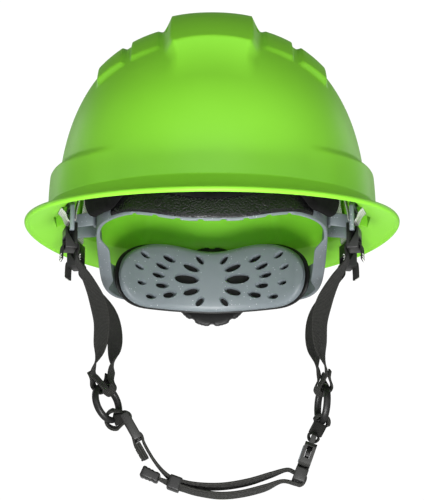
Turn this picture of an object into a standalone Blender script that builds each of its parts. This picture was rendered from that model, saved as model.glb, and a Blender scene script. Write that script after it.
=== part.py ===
"""Full-brim climbing helmet: ribbed shell, four-key suspension with a ratchet nape pad, chin harness.

Metres, +Z up. The origin is the middle of the head opening at the height of the brim's sides.
The face looks along -Y, the nape is at +Y, and +X is the wearer's left.
"""

import math

import bmesh
import bpy
from mathutils import Matrix, Vector

MM = 0.001
GAP = 0.4 * MM  # left between pieces that touch

# ---- shell ----
DOME_HALF_X = 108 * MM
DOME_HALF_Y = 126 * MM
DOME_TOP = 139 * MM
DOME_PLAN_POWER = 2.2
DOME_RISE_POWER = 2.4
WALL = 3 * MM
FOOT_Z = 8 * MM  # where the dome's wall turns into the brim
BRIM_HALF_X = 131 * MM
BRIM_HALF_Y = 155 * MM
BRIM_DROOP = 8.5 * MM  # the front and rear edges hang below the side edges
BRIM_THICKNESS = 2.8 * MM
LIP_RADIUS = 2 * MM
SHELL_COLUMNS = 64
DOME_ROWS = 18
INNER_ROWS = 10

# ---- crown ribs ----
CENTRE_RIB_HALF = 25.5 * MM
CENTRE_RIB_REACH = 93 * MM
CENTRE_RIB_RISE = 9 * MM
RIB_SIDE_WALL = 8 * MM  # the centre rib's sides slope down over this width
RIB_END_WALL = 17 * MM  # its ends fade into the dome over this length
SIDE_RIB_INNER = 34 * MM
SIDE_RIB_OUTER = 79 * MM
SIDE_RIB_REACH = 86 * MM
SIDE_RIB_SWEEP = 22 * MM  # the side ribs are this much shorter at their outer ends
NOTCH_AT = 57 * MM
NOTCH_HALF = 2.5 * MM

# ---- side bosses ----
BOSS_RISE = 6.5 * MM
BOSS_TOP_Z = 41 * MM
BOSS_TOP_DROP = 8 * MM  # the boss's top edge sinks this much towards its ends
BOSS_SHOULDER = 11 * MM
BOSS_END_SHOULDER = 5 * MM
BOSS_SPREAD = math.radians(60)
BOSS_FACE_X = 113.4 * MM  # the flat panel on each boss
SLOT_INNER_X = 104.6 * MM
SLOT_OUTER_X = 110.2 * MM
SLOT_HALF_Y = 16 * MM
SLOT_TOP_Z = 25 * MM

# ---- suspension points ----
STATION_X = 101.6 * MM
STATION_Y = 34 * MM
STATION_TURN = math.radians(10.7)
KEY_MID = -4.4 * MM  # middle of the key's thickness, measured inwards from the shell's wall
KEY_THICK = 3 * MM
KEY_HALF = 9 * MM
KEY_PLATE_HALF = 13 * MM
KEY_TIP_Z = 28 * MM
WINDOW_HALF = 10.5 * MM

# ---- headband ----
BAND_HALF_X = 78 * MM
BAND_FRONT_Y = 98 * MM
BAND_REAR_Y = 108 * MM
BAND_FRONT_POWER = 2.8
BAND_REAR_POWER = 3.6
BAND_THICK = 2.2 * MM
ARM_END_TURN = math.radians(146)  # from the front, round to the arm's end
SWEATBAND_SPREAD = math.radians(42)

# ---- nape ----
PAD_CURVE_X = 91 * MM
PAD_CURVE_Y = 94 * MM
PAD_SPREAD = math.radians(45.5)
PAD_THICK = 5 * MM
PAD_MID_Z = -20 * MM
PAD_HALF_HEIGHT = 24 * MM
KNOB_Z = -21.5 * MM
KNOB_RADIUS = 30 * MM
KNOB_LOBES = 12
HOUSING_FRONT_Y = 102.4 * MM
HOUSING_BACK_Y = 112.4 * MM
RACK_FRONT_Y = 104.2 * MM
RACK_BACK_Y = 107 * MM
HOUSING_HALF_X = 42 * MM
HOUSING_HALF_Z = 15 * MM
PINION_RADIUS = 6 * MM  # pitch circle
PINION_TEETH = 12
RACK_LENGTH = 74 * MM
RACK_INNER_END = 16 * MM  # each rack reaches this far past the middle

# ---- harness ----
WEB_WIDE = 18 * MM
WEB_NARROW = 14 * MM
WEB_LINK = 10 * MM
WEB_THICK = 1.5 * MM
RING_RADIUS = 12.5 * MM
RING_TUBE = 1.9 * MM
STRAP_BOW = 11 * MM  # the side straps bow this far towards the face
SWING_Z = -113 * MM
RIGHT_RING_TOP = (-75 * MM, 0, SWING_Z)  # right and left are the wearer's
LEFT_RING_TOP = (77 * MM, 0, SWING_Z)
RIGHT_RING_TURN = (math.radians(-35), math.radians(-16))  # yaw, then lean
LEFT_RING_TURN = (math.radians(12), math.radians(4))
LADDER_MIDDLE = (-55.4 * MM, 0, -141.5 * MM)
LADDER_AXIS = (0.5, 0, -0.866)
BUCKLE_SEAM = (62 * MM, 0, -170 * MM)  # where the two halves meet
BUCKLE_AXIS = (0.34, 0, 0.94)
BUCKLE_HALF_WIDTH = 13 * MM
PRONG_ROOT = 6.7 * MM  # each prong bends at its root, this far from the buckle's middle
EYE_HALF = 8 * MM  # half the width of each slot that holds chin webbing
KEEPER_MIDDLE = (-25.6 * MM, 0, -180.2 * MM)
KEEPER_AXIS = (0.94, 0, -0.34)


# ---------------------------------------------------------------- helpers


def clear_scene():
    for item in list(bpy.data.objects):
        bpy.data.objects.remove(item, do_unlink=True)


def material(name, colour, roughness):
    made = bpy.data.materials.new(name)
    made.use_nodes = True
    shader = made.node_tree.nodes["Principled BSDF"]
    shader.inputs["Base Color"].default_value = (*colour, 1)
    shader.inputs["Roughness"].default_value = roughness
    return made


def link(name, mesh, finish, smooth_under=35):
    item = bpy.data.objects.new(name, mesh)
    bpy.context.collection.objects.link(item)
    mesh.materials.append(finish)
    mesh.shade_smooth()
    mesh.set_sharp_from_angle(angle=math.radians(smooth_under))
    return item


def solid_from_rings(name, rings, finish, tips=None):
    """A closed skin over rings of equal length; the ends are filled, or drawn to two tip points."""
    shape = bmesh.new()
    rows = [[shape.verts.new(point) for point in ring] for ring in rings]
    count = len(rows[0])
    for low, high in zip(rows, rows[1:]):
        for k in range(count):
            after = (k + 1) % count
            shape.faces.new((low[k], low[after], high[after], high[k]))
    if tips:
        for tip, row in ((tips[0], rows[0]), (tips[1], rows[-1])):
            point = shape.verts.new(tip)
            for k in range(count):
                shape.faces.new((point, row[(k + 1) % count], row[k]))
    else:
        shape.faces.new(rows[0])
        shape.faces.new(rows[-1])
    bmesh.ops.recalc_face_normals(shape, faces=shape.faces)
    mesh = bpy.data.meshes.new(name)
    shape.to_mesh(mesh)
    shape.free()
    return link(name, mesh, finish)


def closed_tube(name, rings, finish):
    """A closed ring-shaped skin: the last ring joins the first."""
    shape = bmesh.new()
    rows = [[shape.verts.new(point) for point in ring] for ring in rings]
    count = len(rows[0])
    for index, low in enumerate(rows):
        high = rows[(index + 1) % len(rows)]
        for k in range(count):
            after = (k + 1) % count
            shape.faces.new((low[k], low[after], high[after], high[k]))
    bmesh.ops.recalc_face_normals(shape, faces=shape.faces)
    mesh = bpy.data.meshes.new(name)
    shape.to_mesh(mesh)
    shape.free()
    return link(name, mesh, finish)


def extrusion(name, outline, place, low, high, finish):
    """An outline in a frame's XY plane, extruded from low to high along the frame's Z."""
    rings = [[place @ Vector((x, y, level)) for x, y in outline] for level in (low, high)]
    return solid_from_rings(name, rings, finish)


def box(name, low, high, finish, place=None):
    outline = [(low[0], low[1]), (high[0], low[1]), (high[0], high[1]), (low[0], high[1])]
    return extrusion(name, outline, place or Matrix(), low[2], high[2], finish)


def circle(radius, count, start=0.0):
    turn = 2 * math.pi / count
    return [
        (radius * math.cos(start + k * turn), radius * math.sin(start + k * turn))
        for k in range(count)
    ]


def oval(half_x, half_y, count, power=2.0):
    """A superellipse outline."""
    points = []
    for k in range(count):
        turn = 2 * math.pi * k / count
        reach = superellipse(turn, half_x, half_y, power)
        points.append((reach * math.cos(turn), reach * math.sin(turn)))
    return points


def superellipse(turn, half_x, half_y, power):
    """Distance from the middle to a superellipse, in the direction of turn."""
    across = abs(math.cos(turn) / half_x) ** power
    along = abs(math.sin(turn) / half_y) ** power
    return (across + along) ** (-1 / power)


def step(distance, width):
    """0 below zero, 1 past width, and smooth in between."""
    share = min(1.0, max(0.0, distance / width))
    return share * share * (3 - 2 * share)


def mix(low, high, share):
    return low + (high - low) * share


def cut(item, *cutters, operation="DIFFERENCE"):
    """Cutters take a bite out of item, or join it, and then stay as hidden guides."""
    for cutter in cutters:
        cutter.hide_render = True
        cutter.display_type = "WIRE"
        bite = item.modifiers.new(operation.title(), "BOOLEAN")
        bite.operation = operation
        bite.object = cutter
        bite.solver = "EXACT"
    return item


def pivot(spot, *items):
    """Put the objects' origins on their joint's axis, and leave their shapes where they are."""
    for item in items:
        item.data.transform(Matrix.Translation(-Vector(spot)))
        item.location = spot


def frame_at(origin, x_axis, y_axis):
    """A frame whose X and Y follow the two directions."""
    across = Vector(x_axis).normalized()
    normal = across.cross(Vector(y_axis)).normalized()
    along = normal.cross(across)
    turn = Matrix((across, along, normal)).transposed().to_4x4()
    return Matrix.Translation(origin) @ turn


def smooth_route(points, per_span):
    """A Catmull-Rom curve through the points."""
    points = [Vector(p) for p in points]
    ends = [points[0] * 2 - points[1], *points, points[-1] * 2 - points[-2]]
    line = []
    for k in range(len(points) - 1):
        a, b, c, d = ends[k : k + 4]
        for j in range(per_span):
            t = j / per_span
            line.append(
                0.5
                * (
                    2 * b
                    + (c - a) * t
                    + (2 * a - 5 * b + 4 * c - d) * t * t
                    + (3 * b - a - 3 * c + d) * t**3
                )
            )
    line.append(points[-1])
    return line


def ribbon(name, route, sides, widths, finish, per_span=4, thickness=WEB_THICK):
    """Flat webbing along a route; sides and widths give the direction and size across it."""
    line = smooth_route(route, per_span)
    wide = smooth_route([(width, 0, 0) for width in widths], per_span)
    across = smooth_route([Vector(side).normalized() for side in sides], per_span)
    rings = []
    for k, point in enumerate(line):
        ahead = line[min(k + 1, len(line) - 1)] - line[max(k - 1, 0)]
        ahead.normalize()
        side = (across[k] - ahead * across[k].dot(ahead)).normalized()
        up = side.cross(ahead)
        half = side * (wide[k].x / 2)
        lift = up * (thickness / 2)
        rings.append(
            [point - half - lift, point + half - lift, point + half + lift, point - half + lift]
        )
    return solid_from_rings(name, rings, finish)


# ---------------------------------------------------------------- shell


def crown_relief(x, y):
    """Height of the crown ribs above the plain dome."""
    across, along = abs(x), abs(y)
    beside = max(0.0, across - CENTRE_RIB_HALF) / RIB_SIDE_WALL
    beyond = max(0.0, along - CENTRE_RIB_REACH) / RIB_END_WALL
    centre = CENTRE_RIB_RISE * max(0.0, 1 - beside) ** 1.3 * max(0.0, 1 - beyond) ** 2
    outwards = max(0.0, across - SIDE_RIB_INNER) / (SIDE_RIB_OUTER - SIDE_RIB_INNER)
    reach = SIDE_RIB_REACH - SIDE_RIB_SWEEP * outwards**1.7
    side = step(across - SIDE_RIB_INNER, 3 * MM) * step(SIDE_RIB_OUTER - across, 4 * MM)
    side *= step(reach - along, 5 * MM) * (1.5 + 3 * outwards) * MM
    side *= step(abs(across - NOTCH_AT) - NOTCH_HALF + 1 * MM, 2 * MM)
    return max(centre, side)


def boss_relief(turn, z):
    """Height of the side bosses above the dome's wall."""
    off_side = abs(math.atan2(math.sin(turn), abs(math.cos(turn))))
    share = min(1.0, off_side / BOSS_SPREAD)
    around = 1 - 0.6 * step(off_side - math.radians(28), math.radians(26))
    around *= step(BOSS_SPREAD - off_side, math.radians(4))
    top = BOSS_TOP_Z - BOSS_TOP_DROP * share
    return BOSS_RISE * around * step(top - z, mix(BOSS_SHOULDER, BOSS_END_SHOULDER, share))


def dome(turn, rise, inset=0.0):
    """A point on the dome: rise is 0 at its foot and 1 at the top."""
    lift = rise * math.pi / 2
    reach = superellipse(turn, DOME_HALF_X - inset, DOME_HALF_Y - inset, DOME_PLAN_POWER)
    reach *= max(0.0, math.cos(lift)) ** (2 / DOME_PLAN_POWER)
    height = (DOME_TOP - inset) * math.sin(lift) ** (2 / DOME_RISE_POWER)
    return Vector((reach * math.cos(turn), reach * math.sin(turn), height))


def dome_normal(point):
    slope = []
    for value, half, power in (
        (point.x, DOME_HALF_X, DOME_PLAN_POWER),
        (point.y, DOME_HALF_Y, DOME_PLAN_POWER),
        (point.z, DOME_TOP, DOME_RISE_POWER),
    ):
        slope.append(math.copysign(abs(value / half) ** (power - 1) / half, value))
    return Vector(slope).normalized()


def outer_dome(turn, rise):
    plain = dome(turn, rise)
    point = plain + dome_normal(plain) * crown_relief(plain.x, plain.y)
    out = boss_relief(turn, plain.z)
    point += Vector((math.cos(turn), math.sin(turn), 0)) * out
    if out > 0 and abs(point.x) > BOSS_FACE_X:
        point.x = math.copysign(BOSS_FACE_X, point.x)
    return point


def rise_at(z):
    return math.asin((z / DOME_TOP) ** (DOME_RISE_POWER / 2)) * 2 / math.pi


def edge_height(turn):
    return -BRIM_DROOP * math.sin(turn) ** 2


def brim(turn, reach, drop=0.0):
    """A point on the brim at a distance from the axis, drop below its top."""
    foot = outer_dome(turn, rise_at(FOOT_Z)).xy.length
    rim = superellipse(turn, BRIM_HALF_X, BRIM_HALF_Y, 2) - LIP_RADIUS
    share = min(1.0, max(0.0, (reach - foot) / (rim - foot)))
    edge = edge_height(turn) + LIP_RADIUS
    height = edge + (FOOT_Z - edge) * (1 - share) ** 1.8
    return Vector((reach * math.cos(turn), reach * math.sin(turn), height - drop))


def shell_rings():
    turns = [2 * math.pi * (k + 0.5) / SHELL_COLUMNS for k in range(SHELL_COLUMNS)]
    foot = rise_at(FOOT_Z)
    rings = []
    for k in range(DOME_ROWS + 1):
        rise = foot + (0.975 - foot) * (1 - k / DOME_ROWS) ** 1.35
        rings.append([outer_dome(turn, rise) for turn in turns])
    for share in (0.12, 0.26, 0.42, 0.6, 0.8, 1.0):
        ring = []
        for turn in turns:
            start = outer_dome(turn, foot).xy.length
            rim = superellipse(turn, BRIM_HALF_X, BRIM_HALF_Y, 2) - LIP_RADIUS
            ring.append(brim(turn, mix(start, rim, share)))
        rings.append(ring)
    for roll in (45, 0, -45, -90):
        ring = []
        for turn in turns:
            rim = superellipse(turn, BRIM_HALF_X, BRIM_HALF_Y, 2) - LIP_RADIUS
            reach = rim + LIP_RADIUS * math.cos(math.radians(roll))
            height = edge_height(turn) + LIP_RADIUS * math.sin(math.radians(roll))
            ring.append(Vector((reach * math.cos(turn), reach * math.sin(turn), height)))
        rings.append(ring)
    for share in (0.8, 0.5, 0.25, 0.0):
        ring = []
        for turn in turns:
            start = dome(turn, foot, WALL).xy.length
            rim = superellipse(turn, BRIM_HALF_X, BRIM_HALF_Y, 2) - LIP_RADIUS
            ring.append(brim(turn, mix(start, rim, share), BRIM_THICKNESS))
        rings.append(ring)
    for k in range(INNER_ROWS):
        rise = foot + 0.02 + (0.93 - foot) * (k / (INNER_ROWS - 1)) ** 1.2
        rings.append([dome(turn, rise, WALL) for turn in turns])
    return rings


def shell(finish):
    tips = (
        (0, 0, DOME_TOP + CENTRE_RIB_RISE),
        (0, 0, DOME_TOP - WALL),
    )
    made = solid_from_rings("shell", shell_rings(), finish, tips)
    blocks = []
    slots = []
    for side_x in (-1, 1):
        for side_y in (-1, 1):
            place = station(side_x, side_y)
            label = f"socket_{side_x}_{side_y}"
            low = (-8.2 * MM, -13 * MM, 9 * MM)
            high = (1.4 * MM, 13 * MM, 32 * MM)
            blocks.append(box(label, low, high, finish, place))
            half = KEY_HALF + GAP
            low = (KEY_MID - KEY_THICK / 2 - GAP, -half, 0)
            high = (KEY_MID + KEY_THICK / 2 + GAP, half, KEY_TIP_Z + GAP)
            slots.append(box(label + "_slot", low, high, finish, place))
        inner, outer = sorted((side_x * SLOT_INNER_X, side_x * SLOT_OUTER_X))
        low = (inner, -SLOT_HALF_Y, -12 * MM)
        high = (outer, SLOT_HALF_Y, SLOT_TOP_Z)
        slots.append(box(f"accessory_slot_{side_x}", low, high, finish))
    cut(made, *blocks, operation="UNION")
    cut(made, *slots)
    return made


# ---------------------------------------------------------------- suspension


def station(side_x, side_y):
    """Frame of a suspension point: X outwards through the wall, Z up, mirrored with the sides."""
    turn = STATION_TURN * side_y if side_x > 0 else math.pi - STATION_TURN * side_y
    place = Matrix.Translation((side_x * STATION_X, side_y * STATION_Y, 0))
    return place @ Matrix.Rotation(turn, 4, "Z")


def name_of(stem, side_x, side_y):
    return f"{stem}_{'front' if side_y < 0 else 'rear'}_{'left' if side_x > 0 else 'right'}"


def band_place(turn):
    """Inner face of the headband and its outward direction; turn is 0 at the front, positive to +X."""
    angle = turn - math.pi / 2
    front = math.sin(angle) < 0
    half_y = BAND_FRONT_Y if front else BAND_REAR_Y
    power = BAND_FRONT_POWER if front else BAND_REAR_POWER
    reach = superellipse(angle, BAND_HALF_X, half_y, power)
    point = Vector((reach * math.cos(angle), reach * math.sin(angle), 0))
    slope_x = abs(point.x / BAND_HALF_X) ** (power - 1) / BAND_HALF_X
    slope_y = abs(point.y / half_y) ** (power - 1) / half_y
    out = Vector((math.copysign(slope_x, point.x), math.copysign(slope_y, point.y), 0))
    return point, out.normalized()


def band_low(turn):
    """Lower edge of the headband: it rises from the brow to the temples and sweeps to the nape."""
    off_front = abs(math.degrees(turn))
    return (-17.5 + 7.5 * step(off_front - 6, 30) - 26 * step(off_front - 60, 82)) * MM


def band_high(turn):
    off_front = abs(math.degrees(turn))
    return (17 - 3 * step(off_front - 35, 30) - 27 * step(off_front - 52, 84)) * MM


def strip_on_band(name, spread, section, finish, count=24):
    """A closed strip that follows the headband; section(turn) lists (outwards, height) points."""
    rings = []
    for k in range(count + 1):
        turn = mix(-spread, spread, k / count)
        point, out = band_place(turn)
        rings.append([point + out * reach + Vector((0, 0, z)) for reach, z in section(turn)])
    return solid_from_rings(name, rings, finish)


def headband(finish):
    def section(turn):
        low, high = band_low(turn), band_high(turn)
        return [(0, low), (BAND_THICK, low), (BAND_THICK, high), (0, high)]

    return strip_on_band("headband", ARM_END_TURN, section, finish, 60)


def sweatband(finish):
    """Pad on the head side of the front band, turned over its top, with a flap down its front."""
    near = -3.6 * MM
    far = BAND_THICK + GAP + 1.4 * MM

    def section(turn):
        low, high = band_low(turn), band_high(turn)
        edge = low + 2.4 * MM
        top = high + GAP
        return [
            (near, edge),
            (-GAP, edge),
            (-GAP, top),
            (BAND_THICK + GAP, top),
            (BAND_THICK + GAP, edge),
            (far, edge),
            (far, top + 1.6 * MM),
            (near, top + 1.6 * MM),
        ]

    return strip_on_band("sweatband", SWEATBAND_SPREAD, section, finish, 26)


def brow_cushion(finish):
    """Foam strip in front of the headband with a hanging lobe at each temple."""
    near = BAND_THICK + 2.6 * MM
    far = near + 7 * MM

    def section(turn):
        off_front = abs(math.degrees(turn))
        lobe = step(16 - abs(off_front - 46), 11)
        low = (-0.5 + 4 * step(off_front, 30) - 6.5 * lobe) * MM
        return [(near, low), (far, low), (far, 19 * MM), (near, 19 * MM)]

    return strip_on_band("brow_cushion", math.radians(60), section, finish, 36)


def stud(name, turn, finish):
    """Round-headed stud that holds the sweatband's flap on the headband."""
    point, out = band_place(turn)
    point.z = band_low(turn) + 9 * MM
    place = frame_at(point, Vector((0, 0, 1)).cross(out), (0, 0, 1))
    base = BAND_THICK + 2 * MM
    rings = []
    for radius, rise in ((2.2, 0.2), (2.0, 0.4), (1.2, 0.5)):
        level = base + rise * MM
        rings.append([place @ Vector((x, y, level)) for x, y in circle(radius * MM, 12)])
    return solid_from_rings(name, rings, finish)


def suspension_key(side_x, side_y, finish):
    """Blade in the shell's socket over a plate with two windows, for the crown strap and the hook."""
    place = station(side_x, side_y)
    turned = place @ frame_at((KEY_MID - KEY_THICK / 2, 0, 0), (0, 1, 0), (0, 0, 1))
    half, plate, shoulder = KEY_HALF, KEY_PLATE_HALF, 7 * MM
    outline = [
        (-plate, -12 * MM),
        (plate, -12 * MM),
        (plate, shoulder - 2 * MM),
        (plate - 2 * MM, shoulder),
        (half, shoulder),
        (half, KEY_TIP_Z - 3 * MM),
        (half - 3 * MM, KEY_TIP_Z),
        (-half + 3 * MM, KEY_TIP_Z),
        (-half, KEY_TIP_Z - 3 * MM),
        (-half, shoulder),
        (-plate + 2 * MM, shoulder),
        (-plate, shoulder - 2 * MM),
    ]
    name = name_of("suspension_key", side_x, side_y)
    made = extrusion(name, outline, turned, 0, KEY_THICK, finish)
    windows = []
    for label, low, high in (("upper", 0.5, 4.5), ("lower", -8.5, -3.5)):
        corner = (KEY_MID - 5 * MM, -WINDOW_HALF, low * MM)
        far = (KEY_MID + 5 * MM, WINDOW_HALF, high * MM)
        windows.append(box(f"{name}_{label}", corner, far, finish, place))
    return cut(made, *windows)


def hanger(side_x, side_y, finish):
    """Upright bent plate from the headband's outside to the inner face of a suspension key."""
    place = station(side_x, side_y)
    turn = math.radians(90 + 13 * side_y) * side_x
    point, out = band_place(turn)
    along = Vector((0, side_y, 0))
    foot = point + out * (BAND_THICK + GAP + 1 * MM) + Vector((0, 0, 1 * MM))
    edge = 11.8 * MM * side_x * -side_y
    end = place @ Vector((KEY_MID - KEY_THICK / 2 - GAP - 1.1 * MM, edge, 0))
    root = foot - along * 7 * MM
    bend = foot + along * 1 * MM + out * 1 * MM
    last = end + along * 1.4 * MM
    route = [root, bend, end - along * 3 * MM - out * 3 * MM, last]
    name = name_of("hanger", side_x, side_y)
    return ribbon(name, route, [Vector((0, 0, 1))] * 4, [9 * MM] * 4, finish, 4, 2 * MM)


def crown_strap(name, side, level, finish):
    """Webbing from the front key on one side, over the crown, to the rear key on the other."""

    def half_route(side_x, side_y):
        place = station(side_x, side_y)
        inner = KEY_MID - KEY_THICK / 2 - GAP - WEB_THICK / 2 - 0.2 * MM
        outer = KEY_MID + KEY_THICK / 2 + GAP + WEB_THICK / 2 + 0.2 * MM
        local = [
            (outer + 4.4 * MM, 0, 3.6 * MM),
            (outer + 1.4 * MM, 0, 0.2 * MM),
            (outer, 0, -3.4 * MM),
            (outer - 1.2 * MM, 0, -4.9 * MM),
            (inner + 1.2 * MM, 0, -4.9 * MM),
            (inner, 0, -3.4 * MM),
            (inner - 0.3 * MM, 0, 0.5 * MM),
            (inner - 2.0 * MM, 0, 8.0 * MM),
            (inner - 4.6 * MM, 0, 20 * MM),
            (inner - 6.6 * MM, 0, 38 * MM),
        ]
        return [place @ Vector(p) for p in local]

    start, finish_route = half_route(side, -1), half_route(-side, 1)
    upper = []
    for share in (0.3, 0.45, 0.6, 0.72, 0.84, 1.0, 1.16, 1.28, 1.4, 1.55, 1.7):
        lift = min(share, 2 - share)
        anchor = start[-1] if share <= 1 else finish_route[-1]
        flat = 1 - lift
        height = mix(anchor.z, level, 1 - (1 - lift) ** 2.3)
        spot = Vector((anchor.x, anchor.y, 0)) * flat ** 0.75
        if share == 1.0:
            spot = Vector((0, 0, 0))
        upper.append(Vector((spot.x, spot.y, height)))
    route = [*start, *upper, *reversed(finish_route)]
    turn_start = station(side, -1).to_3x3() @ Vector((0, 1, 0))
    turn_end = station(-side, 1).to_3x3() @ Vector((0, 1, 0))
    diagonal = Vector((STATION_X * side, -STATION_Y, 0)).cross(Vector((0, 0, 1))).normalized()
    if diagonal.dot(turn_start) < 0:
        diagonal = -diagonal
    if turn_end.dot(diagonal) < 0:
        turn_end = -turn_end
    sides = [turn_start] * len(start) + [diagonal] * len(upper) + [turn_end] * len(start)
    return ribbon(name, route, sides, [WEB_WIDE] * len(route), finish, 2, 1.2 * MM)


def crown_pad(level, finish):
    """Oval pad under the crossing of the crown straps."""
    rings = []
    for scale, drop in ((0.9, 0), (1.0, 1.2), (1.0, 4.5), (0.9, 6)):
        outline = oval(34 * MM * scale, 42 * MM * scale, 28, 2.6)
        rings.append([Vector((x, y, level - drop * MM)) for x, y in outline])
    return solid_from_rings("crown_pad", rings, finish)


# ---------------------------------------------------------------- nape


def pad_place(turn):
    """A point on the head side of the nape pad and the direction away from the head."""
    point = Vector((PAD_CURVE_X * math.sin(turn), PAD_CURVE_Y * math.cos(turn), 0))
    out = Vector((math.sin(turn) / PAD_CURVE_X, math.cos(turn) / PAD_CURVE_Y, 0)).normalized()
    return point, out


def pad_edges(share):
    """Lower and upper edge of the nape pad at a share of its half width."""
    hump = 4.5 * MM * math.sin(math.pi * min(1.0, abs(share) / 0.95)) ** 2
    corner = max(0.0, abs(share) - 0.62) / 0.38
    shrink = 1 - math.sqrt(max(0.0, 1 - corner**2.4))
    top = PAD_MID_Z + PAD_HALF_HEIGHT - 3 * MM + hump - 22 * MM * shrink
    low = PAD_MID_Z - PAD_HALF_HEIGHT + 2 * MM * abs(share) + 20 * MM * shrink
    return low, top


def nape_layer(name, grow, start, thickness, finish, columns=36):
    """A curved sheet with the pad's outline, grown by a margin."""
    rings = []
    spread = PAD_SPREAD + grow / PAD_CURVE_X
    for k in range(columns + 1):
        share = math.sin(math.pi / 2 * mix(-0.985, 0.985, k / columns))
        turn = spread * share
        point, out = pad_place(turn)
        low, top = pad_edges(share)
        near, far = point + out * start, point + out * (start + thickness)
        margin = grow * 0.4
        rings.append(
            [
                near + Vector((0, 0, low - margin)),
                far + Vector((0, 0, low - margin)),
                far + Vector((0, 0, top + margin)),
                near + Vector((0, 0, top + margin)),
            ]
        )
    return solid_from_rings(name, rings, finish)


def vent_layout():
    """Vent holes of one half: across, up, long half axis, short half axis, tilt in degrees."""
    return [
        (9, 14.5, 4.2, 2.0, 52),
        (32.5, 14.5, 5.2, 2.2, 22),
        (52, 15.5, 4.0, 1.8, 24),
        (15.5, 8.5, 6.4, 2.6, 20),
        (38, 8.5, 5.2, 2.1, 18),
        (57, 6, 4.0, 1.7, 16),
        (19, 0, 9.6, 3.9, 2),
        (41, 1.5, 5.0, 2.0, 6),
        (15.5, -9.5, 6.4, 2.6, -18),
        (38, -6, 5.2, 2.1, -4),
        (55, -5.5, 3.6, 1.6, 0),
        (9, -17, 4.2, 2.0, -50),
        (32, -12.5, 5.4, 2.2, -16),
        (47, -15, 4.2, 1.7, -4),
    ]


def nape_pad(finish):
    made = nape_layer("nape_pad", 0, 0, PAD_THICK, finish)
    cutters = []
    for side in (-1, 1):
        for k, (across, up, long_half, short_half, tilt) in enumerate(vent_layout()):
            point, out = pad_place(side * across * MM / PAD_CURVE_X)
            point.z = PAD_MID_Z + up * MM
            along = Vector((0, 0, 1)).cross(out) * -1
            place = frame_at(point, along, (0, 0, 1))
            place = place @ Matrix.Rotation(math.radians(tilt * side), 4, "Z")
            outline = oval(long_half * MM, short_half * MM, 8)
            label = f"vent_{side}_{k}"
            cutters.append(extrusion(label, outline, place, -9 * MM, 9 * MM, finish))
    return cut(made, *cutters)


def behind(z=0.0, y=0.0):
    """Frame that looks rearwards: X across, Y up, Z towards +Y."""
    return frame_at((0, y, z), (-1, 0, 0), (0, 0, 1))


def ratchet_housing(finish):
    """Open-fronted box for the racks, with a round hole for the knob's shaft."""
    outline = oval(HOUSING_HALF_X, HOUSING_HALF_Z, 32, 5)
    place = behind(KNOB_Z, 0)
    made = extrusion("ratchet_housing", outline, place, HOUSING_FRONT_Y, HOUSING_BACK_Y, finish)
    channel = box(
        "rack_channel",
        (-60 * MM, HOUSING_FRONT_Y - 1 * MM, KNOB_Z - 12.5 * MM),
        (60 * MM, HOUSING_BACK_Y - 3 * MM, KNOB_Z + 12.7 * MM),
        finish,
    )
    hole = extrusion("shaft_hole", circle(4.4 * MM, 24), place, 90 * MM, 120 * MM, finish)
    return cut(made, channel, hole)


def gear_outline(pitch, teeth, height):
    """A simple gear: each tooth is a trapezium on the root circle."""
    points = []
    for k in range(teeth):
        middle = 2 * math.pi * k / teeth
        pitch_turn = math.pi / teeth
        for offset, radius in ((-0.62, -height), (-0.26, height), (0.26, height), (0.62, -height)):
            turn = middle + offset * pitch_turn
            reach = pitch + radius
            points.append((reach * math.cos(turn), reach * math.sin(turn)))
    return points


def ratchet_knob(finish):
    """Round grip with scooped lobes and a shaft through the housing."""
    place = behind(KNOB_Z, 0)
    outline = []
    count = KNOB_LOBES * 6
    for k in range(count):
        turn = 2 * math.pi * k / count
        scoop = 1.6 * MM * max(0.0, math.cos(KNOB_LOBES * turn)) ** 2
        reach = KNOB_RADIUS - scoop
        outline.append((reach * math.cos(turn), reach * math.sin(turn)))
    back = HOUSING_BACK_Y + 1 * MM
    rings = []
    for scale, level in ((0.93, 0), (1, 1), (1, 6), (0.95, 7.2)):
        rings.append([place @ Vector((x * scale, y * scale, back + level * MM)) for x, y in outline])
    made = solid_from_rings("ratchet_knob", rings, finish)
    shaft = extrusion("knob_shaft", circle(4 * MM, 20), place, RACK_BACK_Y + GAP, back + 3 * MM, finish)
    return cut(made, shaft, operation="UNION")


def ratchet_pinion(finish):
    place = behind(KNOB_Z, 0)
    outline = gear_outline(PINION_RADIUS, PINION_TEETH, 0.9 * MM)
    return extrusion("ratchet_pinion", outline, place, RACK_FRONT_Y, RACK_BACK_Y, finish)


def rack(name, side, finish):
    """Toothed strip; the left one runs over the pinion and the right one under it."""
    pitch = 2 * math.pi * PINION_RADIUS / PINION_TEETH
    height = 0.9 * MM
    edge = PINION_RADIUS + 0.25 * MM
    points = []
    start = -RACK_INNER_END
    count = int(RACK_LENGTH / pitch) - 1
    first = math.ceil((start + 1 * MM) / pitch)
    for k in range(first, first + count):
        middle = (k + 0.5) * pitch
        for offset, rise in ((-0.31, height), (-0.13, -height), (0.13, -height), (0.31, height)):
            points.append((middle + offset * pitch, edge + rise))
    end = start + RACK_LENGTH
    points.append((end, edge + height))
    points.append((end, edge + 5.5 * MM))
    points.append((start, edge + 5.5 * MM))
    points.append((start, edge + height))
    outline = [(x * side, z * side) for x, z in points]
    place = frame_at((0, 0, KNOB_Z), (1, 0, 0), (0, 0, 1))
    return extrusion(name, outline, place, -RACK_BACK_Y, -RACK_FRONT_Y, finish)


def knob_screw(finish):
    """Pan head that clamps the pinion on the shaft."""
    place = behind(KNOB_Z, 0)
    rings = []
    top = RACK_FRONT_Y - GAP
    for radius, drop in ((2.8, 0), (2.8, 0.5), (2.2, 1.0)):
        ring = circle(radius * MM, 16)
        rings.append([place @ Vector((x, y, top - drop * MM)) for x, y in ring])
    return solid_from_rings("knob_screw", rings, finish)


# ---------------------------------------------------------------- harness


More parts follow.
